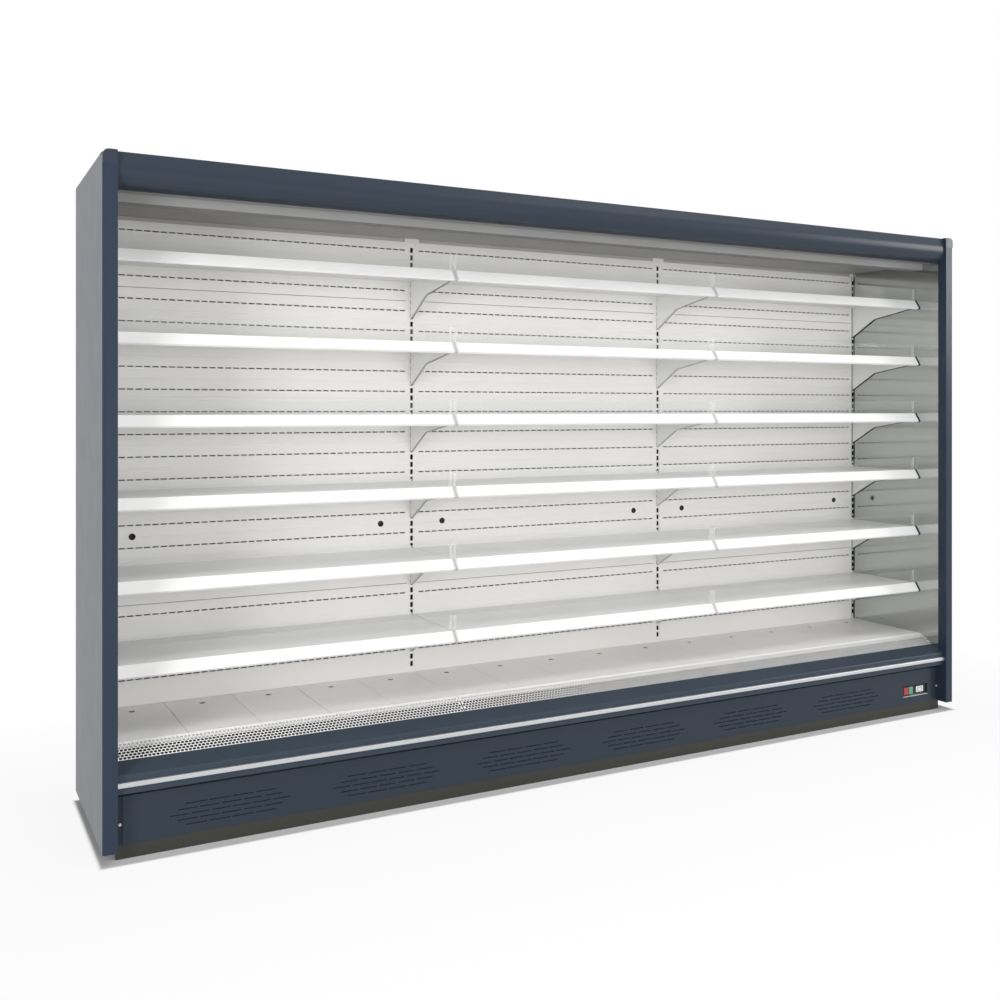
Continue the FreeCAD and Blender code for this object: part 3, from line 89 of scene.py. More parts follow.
SHEET = 0.002
PANEL_SIDE_GAP = 0.011
PANEL_GAP = 0.002
LOWER_PANEL = 0.368
MIDDLE_ROWS = 14
UPPER_ROWS = 3
LOWER_ROWS = 3
ROW_PITCH = 0.0833
LOWER_ROW_PITCH = 0.117
LOWER_ROW_DROP = 0.040
SLIT_MARGIN = 0.031
SLITS_PER_ROW = 40
SLIT_RIB = 0.008
SLIT_HEIGHT = 0.005
CREASE_HEIGHT = 0.004
CREASE_DEPTH = 0.0006
DECK_JOINT = 0.0003
HEAD_STRIP_SET_BACK = 0.004
HEAD_STRIP_THICKNESS = 0.0015
HEAD_STRIP_LAP = 0.002
HEAD_STRIP_TOP_GAP = 0.0002

SHELVES = 6
SHELF_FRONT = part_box("shelves_bay_1")[0].y
SHELF_END_GAP = 0.0025
BRACKET_EDGE_WIDTH = 0.004
BRACKET_EDGE_THICKNESS = 0.0015
BRACKET_KNEE = (0.150, 0.071)
BRACKET_KNEE_RADIUS = 0.040
BRACKET_KNEE_STEPS = 6
BRACKET_HEEL_GAP = 0.001
BRACKET_HEEL_DROP = 0.155
BRACKET_FRONT_DROP = 0.036
BRACKET_FRONT_GAP = 0.020
RAIL_CAP_OUTLINE = (
    (0.0, 0.0028), (-0.0055, 0.0028), (-0.0309, -0.0352), (-0.0244, -0.0418),
    (-0.0125, -0.0418), (0.0, -0.0245),
)
RAIL_CAP_WIDTH = 0.0085
RAIL_CAP_OVERHANG = 0.0015
# width of the black end pieces of painted shade against the right wall
RAIL_END_SHADE_WIDTH = 0.005
RISER_EDGE_WIDTH = 0.012
RISER_EDGE_PROUD = 0.0006
RISER_EDGE_FOOT = 0.003
RISER_EDGE_CHAMFER = (0.001, 0.002)

ROUND_SIDES = 24
SCREW_LEVEL = 0.110
SCREW_FROM_WALL = 0.0125
SCREW_OUTLINE = (
    (0.0, 0.0012), (0.0012, 0.0014), (0.0030, 0.0030), (0.0046, 0.0022), (0.0055, 0.0008),
    (0.0055, -0.0002),
)

UPRIGHT_WIDTH = 0.044
UPRIGHT_SHEET = 0.0025
SHELF_PITCH = 0.275
FIRST_SHELF = 0.583
HOOK_SEAT_DROP = 0.034
UPRIGHT_SLOTS_PER_SHELF = 9
SLOT_WIDTH = 0.012
SLOT_HEIGHT = 0.021
# where the black blocks of painted shade sit inside the uprights
CORE_BEHIND_WEB = 0.016
CORE_FROM_DUCT_BACK = 0.002
CORE_FROM_SIDES = 0.001
CORE_FROM_WALL = 0.0005
CORE_TOP_GAP = 0.001
# black strip of painted shade at the right end of the back
END_SHADE_STRIP_FROM_WALL = (0.0056, 0.0108)
END_SHADE_STRIP_THICKNESS = 0.0006
END_SHADE_STRIP_FOOT_GAP = 0.001
CAP_WIDTH = 0.062
CAP_HEIGHT = 0.015

PROBE_LEVEL = 0.962
PROBE_FROM_BAY_EDGE = 0.138
GROMMET_OUTLINE = (
    (0.0, 0.0004), (0.0075, 0.0004), (0.0085, 0.0018), (0.0105, 0.0022), (0.0120, 0.0014),
    (0.0124, -0.0002),
)

SAME_POINT = 1e-5
GRILLE_HOLES_PER_BAY = 96
GRILLE_HOLE = (0.0116, 0.0109)
GRILLE_ROWS = 6
GRILLE_SHEET = 0.0008
GRILLE_FRONT_LEVEL = 0.302
GRILLE_FLAT = 0.006

OUTLET_CELLS = 360
OUTLET_ROWS = 6
OUTLET_CELL = (0.0092, 0.0092)

LOUVRE_GROUPS = 6
LOUVRE_FIRST = 0.368
LOUVRE_PITCH = 0.557
LOUVRE_LEVEL = 0.110
LOUVRE_ROW_PITCH = 0.017
LOUVRE_HEIGHT = 0.0036
LOUVRE_RIB = 0.009
LOUVRE_ROWS = ((0.300, 4), (0.350, 5), (0.400, 6), (0.350, 5), (0.300, 4))
BLADE_BELOW_SLOT = (0.0012, 0.0002)
BLADE_CREST = ((0.0075, 0.0053), (0.0082, 0.0046))
BLADE_LAP = 0.002

WINDOW_RIM = 0.006
SILL_OUTLINE = (
    (-0.0008, -0.0030), (-0.0016, -0.0016), (-0.0014, 0.0002), (0.0, 0.0008),
    (0.0135, 0.0008), (0.0135, 0.0002), (0.0004, 0.0), (-0.0004, -0.0030),
)
# piece, half width, half height, how far it stands out of the controller, finish
DISPLAY_PLATES = (
    ("display", 0.0236, 0.0136, 0.0002, "display_film"),
    ("display_ring", 0.0150, 0.0085, 0.0007, "display_ring"),
)
DISPLAY_CORNER = 0.0025
DISPLAY_CORNER_STEPS = 3
DISPLAY_SEAT = 0.0010
RING_OPENING = (0.78, 0.66)


# ---------------------------------------------------------------- materials


def linear(value):
    """One sRGB channel, 0 to 255, as linear light."""
    value = value / 255
    return value / 12.92 if value <= 0.04045 else ((value + 0.055) / 1.055) ** 2.4


def colour(red, green, blue):
    return (linear(red), linear(green), linear(blue), 1.0)


class Finish:
    """A node material that is built up one effect at a time."""

    def __init__(self, name, base, roughness, metallic=0.0, specular=0.5):
        self.material = bpy.data.materials.new(name)
        self.material.use_nodes = True
        self.tree = self.material.node_tree
        self.shader = self.tree.nodes["Principled BSDF"]
        self.shader.inputs["Base Color"].default_value = base
        self.shader.inputs["Roughness"].default_value = roughness
        self.shader.inputs["Metallic"].default_value = metallic
        self.shader.inputs["Specular IOR Level"].default_value = specular
        self.base = base
        self.roughness = roughness
        self.place = self.tree.nodes.new("ShaderNodeTexCoord").outputs["Object"]

    def node(self, kind, **inputs):
        made = self.tree.nodes.new(kind)
        for name, value in inputs.items():
            made.inputs[name].default_value = value
        return made

    def link(self, output, socket):
        self.tree.links.new(output, socket)

    def stretched(self, x, y, z):
        """The place on the object, squeezed so that a pattern is drawn out along an axis."""
        mapping = self.node("ShaderNodeMapping")
        mapping.inputs["Scale"].default_value = (x, y, z)
        self.link(self.place, mapping.inputs["Vector"])
        return mapping.outputs["Vector"]

    def noise(self, scale, detail=3.0, where=None):
        made = self.node("ShaderNodeTexNoise", Scale=scale, Detail=detail)
        self.link(where or self.place, made.inputs["Vector"])
        return made.outputs["Fac"]

    def ramp(self, factor, *stops):
        made = self.node("ShaderNodeValToRGB")
        ramp = made.color_ramp
        ramp.elements[0].position, ramp.elements[0].color = stops[0]
        ramp.elements[1].position, ramp.elements[1].color = stops[-1]
        for position, tint in stops[1:-1]:
            ramp.elements.new(position).color = tint
        self.link(factor, made.inputs["Fac"])
        return made.outputs["Color"]

    def mottle(self, scale, amount, where=None):
        """Slow, faint change of colour over the surface."""
        dark = tuple(c * (1 - amount) for c in self.base[:3]) + (1.0,)
        light = tuple(min(c * (1 + amount), 1.0) for c in self.base[:3]) + (1.0,)
        tone = self.ramp(self.noise(scale, where=where), (0.3, dark), (0.7, light))
        self.link(tone, self.shader.inputs["Base Color"])
        return self

    def uneven_gloss(self, scale, amount, where=None):
        span = self.node("ShaderNodeMapRange")
        span.inputs["To Min"].default_value = max(self.roughness - amount, 0.02)
        span.inputs["To Max"].default_value = self.roughness + amount
        self.link(self.noise(scale, where=where), span.inputs["Value"])
        self.link(span.outputs["Result"], self.shader.inputs["Roughness"])
        return self

    def relief(self, scale, strength, distance, detail=2.0, where=None):
        """Fine bump, such as orange peel, moulding texture or brushing."""
        bump = self.node("ShaderNodeBump", Strength=strength, Distance=distance)
        self.link(self.noise(scale, detail, where), bump.inputs["Height"])
        self.link(bump.outputs["Normal"], self.shader.inputs["Normal"])
        return self

    def spangle(self, scale, amount):
        """Zinc crystals of a hot-dipped sheet."""
        cells = self.node("ShaderNodeTexVoronoi", Scale=scale)
        self.link(self.place, cells.inputs["Vector"])
        dark = tuple(c * (1 - amount) for c in self.base[:3]) + (1.0,)
        grey = self.node("ShaderNodeRGBToBW")
        self.link(cells.outputs["Color"], grey.inputs["Color"])
        tone = self.ramp(grey.outputs["Val"], (0.2, dark), (0.8, self.base))
        self.link(tone, self.shader.inputs["Base Color"])
        return self

    def fins(self, pitch, depth):
        """Thin upright fins side by side along the length; the dark bands between them are
        painted shade in the gaps.
        """
        period_at_scale_one = 0.3125
        wave = self.node("ShaderNodeTexWave", Scale=period_at_scale_one / pitch, Distortion=0.0)
        wave.bands_direction = "X"
        self.link(self.place, wave.inputs["Vector"])
        # painted shade in the gaps between the fins
        dark = tuple(c * 0.35 for c in self.base[:3]) + (1.0,)
        tone = self.ramp(wave.outputs["Fac"], (0.25, dark), (0.7, self.base))
        self.link(tone, self.shader.inputs["Base Color"])
        bump = self.node("ShaderNodeBump", Strength=0.8, Distance=depth)
        self.link(wave.outputs["Fac"], bump.inputs["Height"])
        self.link(bump.outputs["Normal"], self.shader.inputs["Normal"])
        return self


def paint(name, base, roughness, specular=0.5):
    finish = Finish(name, base, roughness, specular=specular)
    finish.mottle(1.3, 0.025).uneven_gloss(9.0, 0.03).relief(420.0, 0.03, 0.0001)
    return finish.material


def plastic(name, base, roughness, grain=700.0):
    finish = Finish(name, base, roughness, specular=0.45)
    finish.mottle(6.0, 0.03).uneven_gloss(30.0, 0.04).relief(grain, 0.08, 0.0002)
    return finish.material


def galvanised(name, base):
    finish = Finish(name, base, 0.42, metallic=0.85)
    finish.spangle(55.0, 0.16).uneven_gloss(40.0, 0.10).relief(60.0, 0.05, 0.0002)
    return finish.material


def brushed(name, base, roughness):
    finish = Finish(name, base, roughness, metallic=0.9)
    along = finish.stretched(6.0, 900.0, 900.0)
    finish.mottle(1.0, 0.06, along).uneven_gloss(1.0, 0.08, along)
    finish.relief(1.0, 0.08, 0.0001, where=along)
    return finish.material


def mirror(name, base):
    finish = Finish(name, base, 0.10, metallic=1.0)
    finish.mottle(2.0, 0.03).uneven_gloss(5.0, 0.02)
    return finish.material


def clear(name, base, veil):
    """Clear plastic; veil is the share of light that it stops."""
    finish = Finish(name, base, 0.04, specular=0.5)
    finish.shader.inputs["Alpha"].default_value = veil
    finish.mottle(4.0, 0.01).uneven_gloss(12.0, 0.01)
    return finish.material


def finned(name, base):
    finish = Finish(name, base, 0.4, metallic=0.85)
    finish.fins(0.004, 0.001)
    return finish.material


def make_finishes():
    """One material for every slot of the record, then those that single nodes take instead."""
    return {
        "front_paint": paint("front_paint", colour(44, 54, 66), 0.30, specular=0.25),
        "side_paint": paint("side_paint", colour(42, 53, 69), 0.32, specular=0.25),
        "cap_plastic": plastic("cap_plastic", colour(38, 47, 60), 0.34),
        "mirror_lining": mirror("mirror_lining", colour(188, 191, 189)),
        "liner_paint": paint("liner_paint", colour(245, 244, 241), 0.42),
        "shelf_paint": paint("shelf_paint", colour(242, 242, 241), 0.38),
        "deck_paint": paint("deck_paint", colour(249, 248, 246), 0.40, specular=0.9),
        "rail_plastic": plastic("rail_plastic", colour(243, 243, 242), 0.35),
        "clear_acrylic": clear("clear_acrylic", colour(246, 250, 249), 0.04),
        "lamp_diffuser": plastic("lamp_diffuser", colour(138, 138, 137), 0.55, grain=300.0),
        # grey of the honeycomb, darkened to paint the shade under the canopy
        "honeycomb_plastic": plastic("honeycomb_plastic", colour(150, 150, 149), 0.6),
        "bumper_metal": brushed("bumper_metal", colour(206, 208, 210), 0.42),
        # the plinth strip is a real part; its dark brownish tone paints the shade and the floor
        # reflection at the foot of the kick panel
        "plinth_plastic": plastic("plinth_plastic", colour(52, 53, 48), 0.6),
        "galvanised_steel": galvanised("galvanised_steel", colour(176, 180, 182)),
        "tub_skin": plastic("tub_skin", colour(66, 68, 70), 0.5),
        "foot_plastic": plastic("foot_plastic", colour(34, 34, 35), 0.55),
        "drain_plastic": plastic("drain_plastic", colour(150, 152, 154), 0.5),
        "red_plastic": plastic("red_plastic", colour(172, 58, 66), 0.28),
        "green_plastic": plastic("green_plastic", colour(96, 158, 124), 0.28),
        "controller_plastic": plastic("controller_plastic", colour(30, 31, 33), 0.32),
        "fin_aluminium": finned("fin_aluminium", colour(200, 202, 204)),
        "black_enamel": paint("black_enamel", colour(30, 30, 31), 0.35),
        "fan_plastic": plastic("fan_plastic", colour(40, 40, 42), 0.5),
        # greyer copy of the liner paint: painted shade on the ceiling and in the gap above the
        # upper panels
        "liner_painted_shade": paint("liner_painted_shade", colour(192, 191, 189), 0.5),
        # near-black copy of the deck paint: painted shade inside the tub
        "tub_painted_shade": paint("tub_painted_shade", colour(44, 46, 48), 0.6),
        # lighter copy of the front paint: painted light on the up-facing slope of the nose
        "nose_painted_light": paint("nose_painted_light", colour(54, 65, 77), 0.30, specular=0.25),
        # darker copy of the front paint: painted shade on the recessed kick fillers
        "filler_painted_shade": paint("filler_painted_shade", colour(37, 46, 57), 0.36, specular=0.2),
        # a little darker than the shelf paint: painted shade along the bracket edges
        "bracket_edge": paint("bracket_edge", colour(224, 225, 226), 0.5),
        # near black copy of the same flange: painted shade of the gap at the right mirror wall
        "bracket_edge_deep_painted_shade": paint("bracket_edge_deep_painted_shade", colour(40, 41, 43), 0.5),
        "rail_cap": plastic("rail_cap", colour(206, 206, 205), 0.4),
        "riser_edge": clear("riser_edge", colour(240, 243, 243), 0.18),
        "screw_zinc": galvanised("screw_zinc", colour(222, 224, 226)),
        "display_film": plastic("display_film", colour(232, 234, 234), 0.25),
        "display_ring": plastic("display_ring", colour(150, 155, 158), 0.35),
    }


OWN_FINISH = {
    # painted shade: the ceiling takes a greyer copy of its liner paint
    "ceiling_panel": "liner_painted_shade",
    # painted shade: deck supports and fan deck take a near-black copy of their deck paint
    "deck_supports": "tub_painted_shade",
    "fan_deck": "tub_painted_shade",
    # painted light: the front nose takes a lighter copy of the front paint
    "front_nose": "nose_painted_light",
    # painted shade: the kick fillers take a darker copy of the front paint
    "kick_fillers": "filler_painted_shade",
    "condenser_coil": "black_enamel",
}

finishes = make_finishes()
slot_of = {part["node"]: part["material_slot"] for part in frame["record"]["subparts"]}
for node_name, node in frame["nodes"].items():
    for material_slot in node.material_slots:
        material_slot.material = finishes[OWN_FINISH.get(node_name, slot_of[node_name])]


# ---------------------------------------------------------------- mesh helpers


def finish_piece(name, mesh, slot, body="cabinet", replaced=(), material=None, smooth=False):
    """Turns a bmesh into a piece that rides on a body and takes its finish from a slot."""
    data = bpy.data.meshes.new(name)
    mesh.normal_update()
    mesh.to_mesh(data)
    mesh.free()
    for polygon in data.polygons:
        polygon.use_smooth = smooth
    piece = bpy.data.objects.new(name, data)
    bpy.context.scene.collection.objects.link(piece)
    data.materials.append(material or finishes[slot])
    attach(piece, body)
    if replaced:
        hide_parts(*replaced)
    return piece


def finish_solids(name, mesh, slot, finish=None):
    """Turns closed solids into a piece, in the slot's finish or in one of its own."""
    bmesh.ops.recalc_face_normals(mesh, faces=mesh.faces)
    finish_piece(name, mesh, slot, material=finishes[finish or slot])


def thicken(piece, thickness):
    """Gives a sheet its thickness, away from the side that its faces look to."""
    solid = piece.modifiers.new("thickness", "SOLIDIFY")
    solid.thickness = thickness
    solid.offset = -1.0
    solid.use_even_offset = True


def band(mesh, near, far):
    """Faces between two closed rings of points."""
    for i in range(len(near)):
        j = (i + 1) % len(near)
        mesh.faces.new(list(dict.fromkeys((near[i], near[j], far[j], far[i]))))


def prism(mesh, outline, low, high):
    """Solid along X with an outline of (y, z) points."""
    near = [mesh.verts.new((low, y, z)) for y, z in outline]
    far = [mesh.verts.new((high, y, z)) for y, z in outline]
    mesh.faces.new(near)
    mesh.faces.new(list(reversed(far)))
    band(mesh, far, near)


def grid_sheet(across, up, is_open, place):
    """Sheet of rectangles between grid lines, without the open ones."""
    mesh = bmesh.new()
    points = {}

    def point(i, j):
        if (i, j) not in points:
            points[i, j] = mesh.verts.new(place(across[i], up[j]))
        return points[i, j]

    for i in range(len(across) - 1):
        for j in range(len(up) - 1):
            if is_open((across[i] + across[i + 1]) / 2, (up[j] + up[j + 1]) / 2):
                continue
            mesh.faces.new((point(i, j), point(i + 1, j), point(i + 1, j + 1), point(i, j + 1)))
    return mesh


def lines_of(low, high, spans):
    """Grid lines from low to high, with one at each end of every span."""
    values = {round(low, 6), round(high, 6)}
    for start, end in spans:
        values.update((round(start, 6), round(end, 6)))
    return sorted(values)


def inside_any(value, spans):
    return any(start < value < end for start, end in spans)


def fold(path):
    """Returns a function from a length along a folded line to its place, and the fold lengths."""
    lengths = [0.0]
    for start, end in zip(path, path[1:]):
        lengths.append(lengths[-1] + math.dist(start, end))

    def at(length):
        for i in range(len(path) - 1):
            if length <= lengths[i + 1] + 1e-9 or i == len(path) - 2:
                share = (length - lengths[i]) / (lengths[i + 1] - lengths[i])
                return tuple(a + (b - a) * share for a, b in zip(path[i], path[i + 1]))

    return at, lengths


def hole_cells(mesh, columns, rows, pitch, row_pitch, start, hole, place):
    """Staggered rows of cells, each a rectangle with an eight-sided hole in its middle.

    start is where the first cell begins and hole is a hole's size, each as (across, up).
    Every cell has points at its corners and in the middle of its sides, so that the rows meet
    point to point although every second one is shifted by half a cell.
    """
    reach, reach_up = hole[0] / 2, hole[1] / 2
    for row in range(rows):
        shift = pitch / 2 if row % 2 else 0.0
        low_up = start[1] + row * row_pitch
        mid_up, high_up = low_up + row_pitch / 2, low_up + row_pitch
        if row % 2:
            for edge in (start[0], start[0] + columns * pitch - pitch / 2):
                corners = ((edge, low_up), (edge + pitch / 2, low_up))
                corners += ((edge + pitch / 2, mid_up), (edge + pitch / 2, high_up))
                corners += ((edge, high_up), (edge, mid_up))
                mesh.faces.new([mesh.verts.new(place(a, u)) for a, u in corners])
        for column in range(columns - row % 2):
            low = start[0] + shift + column * pitch
            mid, high = low + pitch / 2, low + pitch
            outer = [(high, mid_up), (high, high_up), (mid, high_up), (low, high_up)]
            outer += [(low, mid_up), (low, low_up), (mid, low_up), (high, low_up)]
            inner = []
            for corner in range(8):
                angle = corner * math.pi / 4
                inner.append((mid + reach * math.cos(angle), mid_up + reach_up * math.sin(angle)))
            outside = [mesh.verts.new(place(a, u)) for a, u in outer]
            inside = [mesh.verts.new(place(a, u)) for a, u in inner]
            band(mesh, outside, inside)


def lathe(mesh, outline, place):
    """Turned form; outline is (radius, height) from the middle out, place sets it in space."""
    turns = [2 * math.pi * i / ROUND_SIDES for i in range(ROUND_SIDES)]
    rings = []
    for radius, height in outline:
        if radius == 0:
            rings.append([mesh.verts.new(place(0.0, 0.0, height))] * ROUND_SIDES)
            continue
        around = [(radius * math.cos(turn), radius * math.sin(turn)) for turn in turns]
        rings.append([mesh.verts.new(place(a, b, height)) for a, b in around])
    for near, far in zip(rings, rings[1:]):
        band(mesh, near, far)


# ---------------------------------------------------------------- back of the display space


def bay_ends():
    """Left and right upright line of every bay."""
    return [(LEFT + i * BAY, LEFT + (i + 1) * BAY) for i in range(BAYS)]


def slit_spans(bay_left):
    """Start and end of every slit in one row of one bay."""
    room = BAY - 2 * SLIT_MARGIN + SLIT_RIB
    pitch = room / SLITS_PER_ROW
    first = bay_left + SLIT_MARGIN
    return [(first + i * pitch, first + (i + 1) * pitch - SLIT_RIB) for i in range(SLITS_PER_ROW)]


def back_panel(name, bay_left, bottom, top, rows):
    """Sheet with rows of slits and a shallow crease midway between two rows."""
    low, high = bay_left + PANEL_SIDE_GAP, bay_left + BAY - PANEL_SIDE_GAP
    slits = slit_spans(bay_left)
    levels = [(row - SLIT_HEIGHT / 2, row + SLIT_HEIGHT / 2) for row in rows]
    creases = [(below + above) / 2 for below, above in zip(rows, rows[1:])]
    folds = []
    for crease in creases:
        folds += [(crease - CREASE_HEIGHT / 2, crease), (crease, crease + CREASE_HEIGHT / 2)]

    def place(x, z):
        creased = any(abs(z - crease) < SAME_POINT for crease in creases)
        return (x, PANEL_FACE + CREASE_DEPTH * creased, z)

    mesh = grid_sheet(
        lines_of(low, high, slits),
        lines_of(bottom, top, levels + folds),
        lambda x, z: inside_any(z, levels) and inside_any(x, slits),
        place,
    )
    thicken(finish_piece(name, mesh, "liner_paint", replaced=["back_panels"]), SHEET)


def back_panels():
    """Lower, middle and upper panel of every bay."""
    lower_top = DECK + PANEL_GAP + LOWER_PANEL
    middle_top = lower_top + MIDDLE_ROWS * ROW_PITCH
    lowest_row = lower_top - LOWER_ROW_DROP - (LOWER_ROWS - 1) * LOWER_ROW_PITCH
    half_row = ROW_PITCH / 2
    lower_rows = [lowest_row + i * LOWER_ROW_PITCH for i in range(LOWER_ROWS)]
    middle_rows = [lower_top + half_row + i * ROW_PITCH for i in range(MIDDLE_ROWS)]
    upper_rows = [middle_top + half_row + i * ROW_PITCH for i in range(UPPER_ROWS)]
    sheets = (
        ("lower", DECK + DECK_JOINT, lower_top - PANEL_GAP, lower_rows),
        ("middle", lower_top, middle_top - PANEL_GAP, middle_rows),
        ("upper", middle_top, CEILING - CAP_HEIGHT, upper_rows),
    )
    for bay in range(BAYS):
        for sheet, bottom, top, rows in sheets:
            back_panel(f"back_panel_{bay + 1}_{sheet}", LEFT + bay * BAY, bottom, top, rows)


def slotted_upright(name, centre, low_side, high_side):
    """Folded channel with a slot in its web for every bracket hook position.

    An upright at an end wall is half a channel and has only the side towards its bay.
    """
    half = UPRIGHT_WIDTH / 2
    middle_line = [(centre, UPRIGHT_FACE)]
    low_flange = [(centre - half, DUCT_BACK), (centre - half, UPRIGHT_FACE)]
    high_flange = [(centre + half, UPRIGHT_FACE), (centre + half, DUCT_BACK)]
    path = (low_flange if low_side else middle_line) + (high_flange if high_side else middle_line)
    at, lengths = fold(path)
    pitch = SHELF_PITCH / UPRIGHT_SLOTS_PER_SHELF
    lowest = FIRST_SHELF - HOOK_SEAT_DROP
    slots = []
    step = -math.floor((lowest - DECK) / pitch)
    while lowest + step * pitch + SLOT_HEIGHT < CEILING - CAP_HEIGHT:
        slots.append((lowest + step * pitch, lowest + step * pitch + SLOT_HEIGHT))
        step += 1
    middle = lengths[1] + half if low_side else 0.0
    notch = [(max(middle - SLOT_WIDTH / 2, 0.0), min(middle + SLOT_WIDTH / 2, lengths[-1]))]
    mesh = grid_sheet(
        lines_of(0.0, lengths[-1], notch + list(zip(lengths, lengths[1:]))),
        lines_of(TUB_FLOOR, CEILING, slots),
        lambda s, z: inside_any(z, slots) and inside_any(s, notch),
        lambda s, z: (*at(s), z),
    )
    piece = finish_piece(name, mesh, "liner_paint", replaced=["slotted_uprights"])
    thicken(piece, UPRIGHT_SHEET)


def upright_cap(name, centre):
    """T-shaped clip at the top of a whole upright."""
    half = CAP_WIDTH / 2
    stem = PANEL_SIDE_GAP / 2
    front = PANEL_FACE - SHEET
    outline = [
        (-half, front), (half, front), (half, PANEL_FACE), (stem, PANEL_FACE),
        (stem, UPRIGHT_FACE), (-stem, UPRIGHT_FACE), (-stem, PANEL_FACE), (-half, PANEL_FACE),
    ]
    mesh = bmesh.new()
    low = [mesh.verts.new((centre + x, y, CEILING - CAP_HEIGHT)) for x, y in outline]
    high = [mesh.verts.new((centre + x, y, CEILING)) for x, y in outline]
    mesh.faces.new(list(reversed(low)))
    mesh.faces.new(high)
    band(mesh, low, high)
    finish_piece(name, mesh, "liner_paint", replaced=["slotted_uprights"])


def uprights():
    for i in range(BAYS + 1):
        centre = LEFT + i * BAY
        slotted_upright(f"upright_{i + 1}", centre, i > 0, i < BAYS)
        if 0 < i < BAYS:
            upright_cap(f"upright_cap_{i}", centre)


def oblong(front, back, bottom, top):
    """Outline of a bar, as (y, z) points."""
    return [(front, bottom), (back, bottom), (back, top), (front, top)]


def upright_slot_painted_shade():
    """Black blocks inside the uprights behind their slots: painted shade of the air ducts."""
    front, back = UPRIGHT_FACE + CORE_BEHIND_WEB, DUCT_BACK - CORE_FROM_DUCT_BACK
    outline = oblong(front, back, DECK, CEILING - CORE_TOP_GAP)
    half = UPRIGHT_WIDTH / 2 - UPRIGHT_SHEET - CORE_FROM_SIDES
    mesh = bmesh.new()
    for i in range(BAYS + 1):
        centre = LEFT + i * BAY
        low = max(centre - half, LEFT + CORE_FROM_WALL)
        high = min(centre + half, RIGHT - CORE_FROM_WALL)
        prism(mesh, outline, low, high)
    finish_solids("upright_slot_painted_shade", mesh, "liner_paint", "foot_plastic")


def end_strip_painted_shade():
    """Thin black strip on the right upright beside the mirror lining: painted shade of the gap
    there.
    """
    near_wall, from_wall = END_SHADE_STRIP_FROM_WALL
    bottom, top = DECK + END_SHADE_STRIP_FOOT_GAP, CEILING - CAP_HEIGHT
    outline = oblong(UPRIGHT_FACE - END_SHADE_STRIP_THICKNESS, UPRIGHT_FACE, bottom, top)
    mesh = bmesh.new()
    prism(mesh, outline, RIGHT - from_wall, RIGHT - near_wall)
    finish_solids("end_strip_painted_shade", mesh, "foot_plastic")


def head_strips():
    """Recessed strips that close the gap between the upper panels and the ceiling panel, in the
    greyer liner copy that paints the shade of that gap.
    """
    front = PANEL_FACE + HEAD_STRIP_SET_BACK
    bottom, top = CEILING - CAP_HEIGHT - HEAD_STRIP_LAP, CEILING - HEAD_STRIP_TOP_GAP
    outline = oblong(front, front + HEAD_STRIP_THICKNESS, bottom, top)
    mesh = bmesh.new()
    for low, high in bay_ends():
        prism(mesh, outline, low + PANEL_SIDE_GAP, high - PANEL_SIDE_GAP)
    finish_solids("head_strips", mesh, "liner_paint", "liner_painted_shade")


def probe_grommets():
    """Blind rubber grommets in the middle panels, one near each end of every bay."""
    for bay in range(BAYS):
        for side, offset in (("a", PROBE_FROM_BAY_EDGE), ("b", BAY - PROBE_FROM_BAY_EDGE)):
            x = LEFT + bay * BAY + offset
            mesh = bmesh.new()
            lathe(mesh, GROMMET_OUTLINE, lambda a, b, h: (x + a, PANEL_FACE - h, PROBE_LEVEL + b))
            finish_piece(f"probe_grommet_{bay + 1}{side}", mesh, "foot_plastic", smooth=True)


# ---------------------------------------------------------------- shelves


def shelf_levels():
    return [FIRST_SHELF + i * SHELF_PITCH for i in range(SHELVES)]


def rail_caps():
    """Clip-on caps on the ends of every ticket rail; against the right wall black end pieces
    instead, painted shade of the gap at the mirror lining.
    """
    caps, wall_end_shade = bmesh.new(), bmesh.new()
    for low, high in bay_ends():
        first = low + SHELF_END_GAP - RAIL_CAP_OVERHANG
        last = high - SHELF_END_GAP + RAIL_CAP_OVERHANG
        for level in shelf_levels():
            outline = [(SHELF_FRONT + y, level + z) for y, z in RAIL_CAP_OUTLINE]
            prism(caps, outline, first, first + RAIL_CAP_WIDTH)
            if high < RIGHT - BAY / 2:
                prism(caps, outline, last - RAIL_CAP_WIDTH, last)
            else:
                # black end piece: painted shade of the gap at the mirror
                prism(wall_end_shade, outline, last - RAIL_END_SHADE_WIDTH, last)
    finish_solids("rail_caps", caps, "rail_plastic", "rail_cap")
    finish_solids("rail_end_painted_shade", wall_end_shade, "foot_plastic")


def riser_edges():
    """Frosted edge strips at both ends of every clear riser."""
    risers_low, risers_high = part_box("shelf_risers")
    near, far = risers_low.y - RISER_EDGE_PROUD, risers_high.y + RISER_EDGE_PROUD
    height = risers_high.z - shelf_levels()[-1]
    inset, drop = RISER_EDGE_CHAMFER
    mesh = bmesh.new()
    for low, high in bay_ends():
        first, last = low + SHELF_END_GAP, high - SHELF_END_GAP
        for level in shelf_levels():
            foot, crest = level + RISER_EDGE_FOOT, level + height
            outline = [
                (near, foot), (far, foot), (far, crest - drop),
                (far - inset, crest), (near + inset, crest), (near, crest - drop),
            ]
            prism(mesh, outline, first, first + RISER_EDGE_WIDTH)
            prism(mesh, outline, last - RISER_EDGE_WIDTH, last)
    finish_solids("riser_edges", mesh, "clear_acrylic", "riser_edge")


